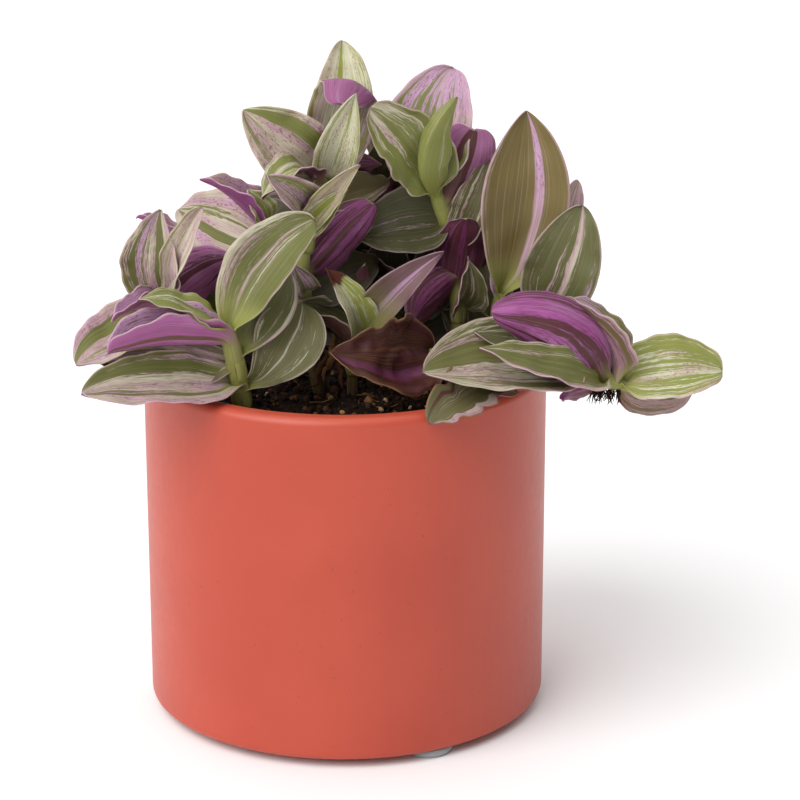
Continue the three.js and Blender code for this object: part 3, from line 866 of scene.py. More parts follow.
@dataclass(frozen=True)
class Soil:
    """The potting mix: an uneven bed with crumbs, bark, chips, pearls and fibres, in millimetres.

    Each span is the least and the most of a size, or of a shade from 0 for dark peat to 1 for white.
    """

    origin: Vector
    radius: float
    bottom: float
    level: float = 82.0
    rings: int = 56
    segments: int = 150
    mound: float = 0.7
    mound_length: float = 15.0
    bump: float = 0.35
    bump_length: float = 4.0
    grain_count: int = 1150
    grain_margin: float = 1.6
    grain_rise: float = 0.25
    grain_rows: tuple[Span, ...] = ((-0.6, 0.75), (0.05, 1.0), (0.65, 0.7))
    grain_sides: int = 7
    grain_dents: Span = (0.72, 1.2)
    grain_stretches: Span = (0.55, 1.35)
    peat_share: float = 0.86
    peat_shades: Span = (0.05, 0.6)
    bark_shades: Span = (0.62, 0.9)
    rough_share: float = 0.97
    rough_sizes: Span = (0.35, 1.15)
    even_sizes: Span = (0.5, 0.8)
    dull_share: float = 0.985
    pearl_shades: Span = (0.93, 1.0)
    fibre_count: int = 70
    fibre_margin: float = 8.0
    fibre_rise: float = 0.35
    fibre_lengths: Span = (3.0, 9.0)
    fibre_radii: Span = (0.12, 0.24)
    fibre_shades: Span = (0.5, 0.88)
    fibre_bends: Span = (-0.25, 0.25)
    fibre_steps: int = 7
    seed: int = 7

    def height(self, x: np.ndarray, y: np.ndarray) -> np.ndarray:
        """The bed's height at each place.

        Args:
            x: Distances to the right of the pot's axis.
            y: Distances behind it.

        Returns:
            The heights.
        """
        places = np.stack([x, y, np.zeros_like(x)], axis=-1)
        mounds = self.mound * rumple(places, self.mound_length, self.seed)
        return self.level + mounds + self.bump * rumple(places, self.bump_length, self.seed + 1)

    def bed(self) -> bpy.types.Object:
        """Builds the bed as one closed body.

        Returns:
            Its piece.
        """
        radii = np.linspace(0, self.radius, self.rings + 1)[1:]
        angles = circle(self.segments)
        x = (radii[:, None] * np.cos(angles)).ravel()
        y = (radii[:, None] * np.sin(angles)).ravel()
        surface = np.stack([x, y, self.height(x, y)], axis=-1)
        foot = surface[-self.segments :].copy()
        foot[:, 2] = self.bottom
        middle = np.zeros((2, 3))
        middle[:, 2] = (float(self.height(np.zeros(1), np.zeros(1))[0]), self.bottom)
        points = np.concatenate([middle[:1], surface, foot, middle[1:]])
        # The rings run from the top down, so their faces turn the other way.
        faces = ring_faces(1, self.rings + 1, self.segments, 0, len(points) - 1)
        skin = Skin(self.origin)
        skin.add(points, [[face[0], *face[:0:-1]] for face in faces])
        piece = skin.piece("soil_bed", [MoistPeat().build()])
        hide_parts("soil")
        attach(piece, ROOT_BODY)
        return piece

    def lump(self, rng: np.random.Generator, size: float) -> tuple[np.ndarray, Faces]:
        """One rough grain round the origin.

        Args:
            rng: Draws its shape.
            size: Its usual radius.

        Returns:
            Its points and faces.
        """
        sides = self.grain_sides
        points = [(0.0, 0.0, -1.0)]
        for height, width in self.grain_rows:
            for k in range(sides):
                angle = 2 * math.pi * (k + 0.5 * height) / sides
                points.append((width * math.cos(angle), width * math.sin(angle), height))
        points.append((0.0, 0.0, 1.0))
        shaped = np.array(points) * rng.uniform(*self.grain_dents, size=(len(points), 1))
        shaped *= size * rng.uniform(*self.grain_stretches, size=3)
        spun = turn(shaped, unit(rng.normal(size=3)), np.full(len(points), rng.uniform(0, math.pi)))
        return spun, ring_faces(1, len(self.grain_rows), sides, 0, len(points) - 1)

    def fibre(self, rng: np.random.Generator, start: np.ndarray, length: float) -> tuple[np.ndarray, Faces]:
        """One thin, bent fibre that lies on the bed.

        Args:
            rng: Draws its bend.
            start: Where it starts, on the bed.
            length: How long it is.

        Returns:
            Its points and faces.
        """
        heading = rng.uniform(0, 2 * math.pi)
        bend = rng.uniform(*self.fibre_bends)
        centres = [start]
        for k in range(self.fibre_steps):
            angle = heading + bend * k
            run = np.array([math.cos(angle), math.sin(angle), 0.0])
            centres.append(centres[-1] + length / self.fibre_steps * run)
        line = np.array(centres)
        line[:, 2] = self.height(line[:, 0], line[:, 1]) + self.fibre_rise
        inside = np.hypot(line[:, 0], line[:, 1]) < self.radius - 1
        kept = len(line) if inside.all() else max(3, int(np.argmin(inside)))
        return tube(line[:kept], np.full(kept, rng.uniform(*self.fibre_radii)), 5)

    def grains(self) -> bpy.types.Object:
        """Scatters the grains and fibres over the bed.

        Returns:
            Their piece.
        """
        rng = np.random.default_rng(self.seed)
        skin = Skin(self.origin)
        for _ in range(self.grain_count):
            distance = (self.radius - self.grain_margin) * math.sqrt(rng.uniform(0, 1))
            angle = rng.uniform(0, 2 * math.pi)
            x = distance * math.cos(angle)
            y = distance * math.sin(angle)
            kind = rng.uniform(0, 1)
            shade = rng.uniform(*(self.peat_shades if kind < self.peat_share else self.bark_shades))
            size = rng.uniform(*(self.rough_sizes if kind < self.rough_share else self.even_sizes))
            if kind > self.dull_share:
                shade = rng.uniform(*self.pearl_shades)
            points, faces = self.lump(rng, size)
            rise = float(self.height(np.array([x]), np.array([y]))[0]) + self.grain_rise * size
            skin.add(points + np.array([x, y, rise]), faces, blade=(shade, 0.0, rng.uniform(0, 1)))
        for _ in range(self.fibre_count):
            distance = (self.radius - self.fibre_margin) * math.sqrt(rng.uniform(0.05, 1))
            angle = rng.uniform(0, 2 * math.pi)
            start = np.array([distance * math.cos(angle), distance * math.sin(angle), 0.0])
            points, faces = self.fibre(rng, start, rng.uniform(*self.fibre_lengths))
            skin.add(points, faces, blade=(rng.uniform(*self.fibre_shades), 0.0, 0.5))
        piece = skin.piece("soil_grains", [BarkAndPearls().build()])
        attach(piece, ROOT_BODY)
        return piece


@dataclass(frozen=True)
class Paint:
    """How one leaf is coloured.

    depth runs from lime green at 0 to olive brown at 1, pink and cream say how pink and how wide its
    pale stripes are, lean makes one half paler, tipward makes its tip paler, and dry withers it or,
    below 0, burns its tip. mauve flushes its green, dark lays painted shade over it all, under makes its
    underside green, and young spreads the foot's yellow green. Each band has a place across the blade
    and half a width.
    """

    depth: float = 0.5
    pink: float = 0.4
    cream: float = 0.4
    lean: float = 0.0
    tipward: float = 0.0
    dry: float = 0.0
    mauve: float = 0.0
    # Painted shade over the whole leaf, for leaves that lie in shade.
    dark: float = 0.0
    under: float = 0.0
    young: float = 0.0
    pale: Span = (0.0, -1.0)
    green: Span = (0.0, -1.0)


@dataclass(frozen=True)
class Leaf:
    """One leaf: where it clasps its stem, where its tip is, how its upper side faces, and its habit.

    arch lifts its middle towards the upper side and sway moves it sideways. fold and cup are the angles
    by which its halves fold up and round up, and hook bends the tip down or, below 0, up. phase shifts
    its waves, blunt rounds its tip, a higher belly puts its widest place nearer the tip, torn takes
    pieces off its margins and crumple creases it.
    """

    name: str
    base: Place
    tip: Place
    face: Place
    half_width: float
    paint: Paint
    arch: float = 2.0
    sway: float = 0.0
    fold: float = 14.0
    cup: float = 22.0
    phase: float = 0.0
    hook: float = 0.0
    blunt: float = 0.0
    belly: float = 0.8
    torn: float = 0.0
    crumple: float = 0.0

    def seed(self) -> int:
        """A number of its own for each leaf, from its name."""
        return sum(ord(letter) * (place + 3) * 7 for place, letter in enumerate(self.name))

    def frame(self) -> tuple[np.ndarray, np.ndarray, np.ndarray]:
        """The ways that the leaf lies.

        Returns:
            The chord from foot to tip, the way the upper side faces, and the way across.
        """
        chord = np.array(self.tip, float) - np.array(self.base, float)
        along = unit(chord)
        face = np.array(self.face, float)
        up = unit(face - along * float(face @ along))
        return chord, up, np.cross(along, up)


@dataclass(frozen=True)
class BladeShape:
    """What all blades share: how the foot folds, how the outline swells and how the margins ripple.

    Lengths and heights are in millimetres, angles in degrees, and places along a blade are shares of it.
    """

    root_fold: float = 62.0
    root_reach: float = 0.25
    foot_share: float = 0.16
    foot_reach: float = 0.35
    tip_share: float = 0.012
    body_power: float = 0.75
    blunt_power: float = 0.35
    wave: float = 0.5
    waves: float = 2.3
    wave_shift: float = 0.37
    wave_start: float = 0.25
    frill: float = 0.28
    frills: float = 5.3
    frill_shift: float = 1.7
    hook_start: float = 0.5
    hook_reach: float = 0.32
    hook_ease: float = 1.2
    keel: float = 0.1
    tear_gap: float = 30.0
    tear_reach: float = 42.0
    tear_length: float = 7.0
    pucker: float = 0.3
    pucker_length: float = 11.0
    crease_length: float = 12.0
    fine_crease_length: float = 5.0
    calm_tip: float = 0.2
    thickness: float = 0.5
    margin_share: float = 0.45
    margin_power: int = 5
    foot_thickness: float = 0.25
    foot_growth: float = 0.1
    clasp_end: float = 0.17
    least_rows: int = 32
    most_rows: int = 46
    short_blade: float = 18.0
    least_columns: int = 16
    most_columns: int = 20
    narrow_blade: float = 5.0
    crowding: float = 0.55

    def places(self, length: float, half_width: float) -> tuple[np.ndarray, np.ndarray]:
        """Where a blade's points lie, closer together at its foot and tip.

        Args:
            length: The blade's length.
            half_width: Half its width.

        Returns:
            The places along it, from 0 to 1, and across it, from -1 to 1.
        """
        rows = self.most_rows if length > self.short_blade else self.least_rows
        columns = self.most_columns if half_width > self.narrow_blade else self.least_columns
        even = np.linspace(0, 1, rows + 1)
        u = (1 - self.crowding) * even + self.crowding * (1 - np.cos(math.pi * even)) / 2
        return u, np.linspace(-1, 1, columns + 1)

    def outline(self, u: np.ndarray, leaf: Leaf) -> np.ndarray:
        """A blade's half width along its length, as a share of the widest.

        Args:
            u: Places along the blade, from 0 at its foot to 1 at its tip.
            leaf: The leaf.

        Returns:
            The shares.
        """
        bow = np.maximum(np.sin(math.pi * u**leaf.belly), 0)
        power = np.where(u > 0.5, self.body_power - self.blunt_power * leaf.blunt, self.body_power)
        foot = self.foot_share * np.maximum(1 - u / self.foot_reach, 0) ** 2
        return np.maximum(bow**power + foot, self.tip_share)

    def midrib(self, u: np.ndarray, leaf: Leaf) -> tuple[np.ndarray, np.ndarray, np.ndarray]:
        """The midrib's points, the way it runs, and the way the upper side faces there.

        Args:
            u: Places along the blade.
            leaf: The leaf.

        Returns:
            The points, the runs and the normals.
        """
        chord, up, side = leaf.frame()
        bow = (4 * u * (1 - u))[:, None]
        slope = (4 * (1 - 2 * u))[:, None]
        points = np.array(leaf.base) + chord * u[:, None] + up * leaf.arch * bow + side * leaf.sway * bow
        runs = unit(chord + up * leaf.arch * slope + side * leaf.sway * slope)
        normals = unit(up - runs * (runs @ up)[:, None])
        if not leaf.hook:
            return points, runs, normals

        def bend(places: np.ndarray) -> np.ndarray:
            """How far the tip has bent back at each place, in radians."""
            share = np.clip((places - self.hook_start) / self.hook_reach, 0, 1)
            return -math.radians(leaf.hook) * share**self.hook_ease

        steps = turn(np.diff(points, axis=0), side, bend((u[1:] + u[:-1]) / 2))
        bent = np.concatenate([points[:1], points[0] + np.cumsum(steps, axis=0)])
        return bent, turn(runs, side, bend(u)), turn(normals, side, bend(u))

    def reach(self, u: np.ndarray, sides: np.ndarray, leaf: Leaf) -> np.ndarray:
        """How wide the blade's halves are, less what is torn off their margins.

        Args:
            u: Places along the blade.
            sides: -1 for places in one half, 1 for those in the other, and 0 on the midrib.
            leaf: The leaf.

        Returns:
            A width for each u and side.
        """
        along = self.tear_reach * u[:, None]
        spots = np.stack(np.broadcast_arrays(along, self.tear_gap * sides, 0.0), axis=-1)
        tear = leaf.torn * np.clip(0.3 + 1.2 * rumple(spots, self.tear_length, leaf.seed() + 5), 0, 1)
        return (leaf.half_width * self.outline(u, leaf))[:, None] * (1 - tear)

    def ripple(self, u: np.ndarray, v: np.ndarray, leaf: Leaf) -> np.ndarray:
        """How far the margins swing up and down, in broad waves and in fine frills.

        Args:
            u: Places along the blade.
            v: Places across it.
            leaf: The leaf.

        Returns:
            A height for each u and v.
        """
        wide = np.abs(v)[None, :]
        shift = np.where(v > 0, self.wave_shift, 0.0)[None, :]
        wave = self.wave * wide**2 * np.sin(2 * math.pi * (self.waves * u[:, None] + leaf.phase + shift))
        frill_phase = leaf.seed() % 17 + self.frill_shift * np.sign(v)[None, :]
        return wave + self.frill * wide**4 * np.sin(2 * math.pi * self.frills * u[:, None] + frill_phase)

    def humps(self, u: np.ndarray, grid: np.ndarray, leaf: Leaf) -> np.ndarray:
        """How far a surface puckers and, on a withered leaf, crumples.

        Args:
            u: Places along the blade.
            grid: The surface's points, a row for each u.
            leaf: The leaf.

        Returns:
            A height for each point.
        """
        seed = leaf.seed()
        calm = ease(1 - u, 0, self.calm_tip)[:, None]
        creases = np.abs(rumple(grid, self.crease_length, seed + 1))
        creases = creases + 0.4 * np.abs(rumple(grid, self.fine_crease_length, seed + 2))
        return self.pucker * rumple(grid, self.pucker_length, seed) * calm - leaf.crumple * (creases - 0.9)

    def surface(self, u: np.ndarray, v: np.ndarray, leaf: Leaf) -> np.ndarray:
        """The blade's middle surface.

        Args:
            u: Places along the blade.
            v: Places across it, from -1 to 1.
            leaf: The leaf.

        Returns:
            A point for each u and v.
        """
        points, runs, normals = self.midrib(u, leaf)
        across = np.cross(runs, normals)
        sides = np.sign(v)[None, :]
        reach = self.reach(u, sides, leaf)
        closing = np.maximum(0, 1 - u / self.root_reach) ** 2
        fold = np.radians(leaf.fold + (self.root_fold - leaf.fold) * closing)[:, None]
        cup = math.radians(leaf.cup)
        wide = np.abs(v)[None, :]
        soft = (np.sqrt(wide**2 + self.keel**2) - self.keel) / (math.sqrt(1 + self.keel**2) - self.keel)
        out = reach * np.sin(cup * wide) / cup
        lifted = reach * np.sin(cup * soft) / cup
        rise = reach * (1 - np.cos(cup * soft)) / cup
        grow = np.minimum(1, u / self.wave_start)[:, None]
        lateral = (out * np.cos(fold) - rise * np.sin(fold)) * sides
        lift = lifted * np.sin(fold) + rise * np.cos(fold) + self.ripple(u, v, leaf) * grow
        grid = points[:, None] + across[:, None] * lateral[..., None] + normals[:, None] * lift[..., None]
        return grid + normals[:, None] * (self.humps(u, grid, leaf) * grow)[..., None]


SHAPE = BladeShape()


def centripetal(path: tuple[Place, ...], spacing: float = 0.8) -> np.ndarray:
    """Evenly spaced points on the smooth curve through a path.

    Args:
        path: The points that the curve passes.
        spacing: The distance between points.

    Returns:
        The points.
    """
    knots = np.array(path, float)
    knots = np.concatenate([2 * knots[:1] - knots[1:2], knots, 2 * knots[-1:] - knots[-2:-1]])
    shares = np.linspace(0, 1, 40)[:, None]
    parts = []
    for a, b, c, d in zip(knots, knots[1:], knots[2:], knots[3:]):
        before, middle, after = (math.sqrt(float(np.linalg.norm(gap))) for gap in (b - a, c - b, d - c))
        start = ((b - a) / before - (c - a) / (before + middle) + (c - b) / middle) * middle
        end = ((c - b) / middle - (d - b) / (middle + after) + (d - c) / after) * middle
        cubic = 2 * b - 2 * c + start + end
        square = -3 * b + 3 * c - 2 * start - end
        parts.append(b + start * shares + square * shares**2 + cubic * shares**3)
    curve = np.concatenate(parts)
    lengths = np.concatenate([[0], np.cumsum(np.linalg.norm(np.diff(curve, axis=0), axis=1))])
    wanted = np.linspace(0, lengths[-1], max(6, round(lengths[-1] / spacing)))
    return np.stack([np.interp(wanted, lengths, curve[:, axis]) for axis in range(3)], axis=-1)


def between(rows: np.ndarray, spots: np.ndarray) -> np.ndarray:
    """Rows of numbers read at spots between them, counted from 0 at the first row."""
    index = np.arange(len(rows))
    return np.stack([np.interp(spots, index, column) for column in rows.T], axis=-1)


@dataclass(frozen=True)
class Shoot:
    """A leafy stem: the stem's path, its radius and its leaves, in millimetres from the pot's axis.

    core is the share of the radius that the stem itself takes. Each sheath lies a gap off the stem, and a
    step more for each one inside it. It wraps round the stem by an angle and opens towards its blade.
    """

    name: str
    path: tuple[Place, ...]
    radius: float
    leaves: tuple[Leaf, ...]
    sides: int = 14
    core: float = 0.88
    narrowing: float = 0.25
    end_start: float = 0.93
    end_slope: float = 6.0
    swelling: float = 0.1
    swelling_reach: float = 2.0
    backward: float = -0.15
    sheath: float = 6.5
    sheath_share: float = 0.25
    sheath_hem: float = 0.4
    sheath_rows: int = 7
    sheath_gap: float = 0.22
    sheath_step: float = 0.08
    sheath_flare: float = 0.5
    sheath_wrap: float = 178.0
    sheath_opening: float = 66.0
    throat_share: float = 0.3
    throat_stretch: float = 0.8
    soil_level: float = 84.0
    paint_foot: float = 80.0
    paint_rise: float = 40.0

    def stem(self) -> tuple[np.ndarray, np.ndarray, np.ndarray]:
        """The stem's middle line.

        Returns:
            Its points, the way it runs at each, and its radii.
        """
        line = centripetal(self.path)
        share = np.linspace(0, 1, len(line))
        end = 1 - np.maximum(share - self.end_start, 0) * self.end_slope
        radii = self.core * self.radius * (1 - self.narrowing * share) * end
        return line, unit(np.gradient(line, axis=0)), radii

    def clasp(self, leaf: Leaf, reach: np.ndarray, v: np.ndarray, layer: int) -> tuple[np.ndarray, float]:
        """The sheath by which a leaf clasps the stem.

        Args:
            leaf: The leaf.
            reach: Distances along the stem from the leaf's foot, below 0 for the sheath itself.
            v: Places across the leaf.
            layer: How many sheaths lie inside this one.

        Returns:
            A point for each reach and v, and how far the foot stands above the soil along the stem.
        """
        line, runs, radii = self.stem()
        spacing = float(np.linalg.norm(line[1] - line[0]))
        nearest = int(np.argmin(np.linalg.norm(line - np.array(leaf.base), axis=1)))
        chord, up, _ = leaf.frame()
        heading = unit(chord)
        way = 1.0 if float(heading @ runs[nearest]) > self.backward else -1.0
        spots = nearest + way * reach / spacing
        inside = np.clip(spots, 0, len(line) - 1)
        beyond = (spots - inside) * spacing
        centre = between(line, inside)
        run = unit(between(runs, inside))
        centre = centre + run * beyond[:, None]
        run = run * way
        hinge = np.cross(heading, runs[nearest] * way)
        size = float(np.linalg.norm(hinge))
        if size > 1e-6:
            angle = math.atan2(size, float(heading @ (runs[nearest] * way)))
            up = turn(up[None], hinge / size, np.array([angle]))[0]
        normal = unit(up - run * (run @ up)[:, None])
        side = np.cross(run, normal)
        opening = ease(reach, 0, self.sheath)
        closing = ease(reach, -self.sheath, -self.sheath_hem * self.sheath)
        thick = between(radii[:, None], inside)[:, 0] + (self.sheath_gap + self.sheath_step * layer) * closing
        thick = thick + self.sheath_flare * opening
        angle = np.radians(self.sheath_wrap - self.sheath_opening * opening)[:, None] * v[None, :]
        round_stem = -normal[:, None] * np.cos(angle)[..., None] + side[:, None] * np.sin(angle)[..., None]
        room = max(0.0, float(line[nearest, 2]) - self.soil_level)
        return centre[:, None] + round_stem * thick[:, None, None], room

    def add_leaf(self, skin: Skin, leaf: Leaf, layer: int) -> None:
        """Adds one leaf, with its sheath, as a closed blade.

        Args:
            skin: The mesh that gathers the shoot.
            leaf: The leaf.
            layer: How many sheaths lie inside this one.
        """
        length = float(np.linalg.norm(leaf.frame()[0]))
        u, v = SHAPE.places(length, leaf.half_width)
        _, room = self.clasp(leaf, np.zeros(1), v, layer)
        sheath = min(self.sheath, self.sheath_share * length, room)
        below = np.linspace(-sheath, 0, self.sheath_rows if sheath > 1 else 0, endpoint=False)
        throat = self.throat_stretch * length * np.minimum(u, self.throat_share)
        reach = np.concatenate([below, throat])
        wrapped, _ = self.clasp(leaf, reach, v, layer)
        blade = SHAPE.surface(u, v, leaf)
        blade = np.concatenate([np.repeat(blade[:1], len(below), axis=0), blade])
        share = np.concatenate([np.zeros(len(below)), ease(u, 0, SHAPE.clasp_end)])[:, None, None]
        middle = wrapped * (1 - share) + blade * share
        self.close_blade(skin, leaf, middle, np.concatenate([below / length, u]), v)

    def close_blade(self, skin: Skin, leaf: Leaf, middle: np.ndarray, u: np.ndarray, v: np.ndarray) -> None:
        """Gives a middle surface its thickness and adds it to the skin.

        Args:
            skin: The mesh that gathers the shoot.
            leaf: The leaf.
            middle: A point for each u and v.
            u: Places along the leaf.
            v: Places across it.
        """
        rows, columns = middle.shape[:2]
        normals = unit(np.cross(np.gradient(middle, axis=1), np.gradient(middle, axis=0)) + 1e-12)
        taper = 1 - (1 - SHAPE.margin_share) * np.abs(v) ** SHAPE.margin_power
        grown = ease(u, float(u[0]), float(u[0]) + SHAPE.foot_growth)
        thinning = SHAPE.foot_thickness + (1 - SHAPE.foot_thickness) * grown
        half = 0.5 * SHAPE.thickness * (thinning[:, None] * taper[None, :])[..., None]
        points = np.concatenate([middle + normals * half, middle - normals * half]).reshape(-1, 3)
        under = rows * columns
        faces = []
        slots = []
        for i in range(rows - 1):
            for j in range(columns - 1):
                a = i * columns + j
                corners = [a, a + 1, a + columns + 1, a + columns]
                faces.append(corners)
                slots.append(Slot.TOP.value)
                faces.append([corner + under for corner in reversed(corners)])
                slots.append(Slot.UNDERSIDE.value)
        edge = list(range(columns - 1))
        edge += [i * columns + columns - 1 for i in range(rows - 1)]
        edge += [(rows - 1) * columns + j for j in range(columns - 1, 0, -1)]
        edge += [i * columns for i in range(rows - 1, 0, -1)]
        for first, second in zip(edge, edge[1:] + edge[:1]):
            faces.append([first, first + under, second + under, second])
            slots.append(Slot.TOP.value)
        paint = leaf.paint
        seed = (leaf.seed() % 97) / 97
        along, across = np.meshgrid(u, v, indexing="ij")
        blade = np.stack([along.ravel(), across.ravel(), np.full(under, seed)], axis=-1)
        skin.add(
            points,
            faces,
            slots,
            blade=np.concatenate([blade, blade]),
            tint=(paint.depth, paint.pink, paint.cream),
            habit=(paint.lean, paint.tipward, paint.dry),
            pale_band=(*paint.pale, paint.young),
            green_band=(*paint.green, 0.0),
            wash=(paint.mauve, paint.dark, paint.under),
        )

    def add_stem(self, skin: Skin) -> None:
        """Adds the stem, a little swollen where leaves clasp it.

        Args:
            skin: The mesh that gathers the shoot.
        """
        line, _, radii = self.stem()
        for leaf in self.leaves:
            distance = np.linalg.norm(line - np.array(leaf.base), axis=1)
            radii = radii * (1 + self.swelling * np.exp(-((distance / self.swelling_reach) ** 2)))
        points, faces = tube(line, radii, self.sides)
        heights = np.clip((line[:, 2] - self.paint_foot) / self.paint_rise, 0, 1)
        around = np.linspace(-1, 1, self.sides)
        seed = (sum(ord(letter) for letter in self.name) % 31) / 31
        rows = [[height, angle, seed] for height in heights for angle in around]
        rows += [[heights[0], 0.0, seed], [heights[-1], 0.0, seed]]
        skin.add(points, faces, [Slot.STEM.value] * len(faces), blade=np.array(rows))

    def build(self, origin: Vector, materials: list[bpy.types.Material], slot: str) -> bpy.types.Object:
        """Grows the shoot and returns its piece.

        Args:
            origin: The pot's axis on the floor, in metres.
            materials: The materials of a leaf's top, its underside and the stem.
            slot: Not used.

        Returns:
            The piece.
        """
        skin = Skin(origin)
        self.add_stem(skin)
        for layer, leaf in enumerate(sorted(self.leaves, key=lambda one: -one.base[2])):
            self.add_leaf(skin, leaf, layer % 4)
        piece = skin.piece(f"{self.name}_grown", materials)
        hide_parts(self.name)
        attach(piece, ROOT_BODY)
        return piece


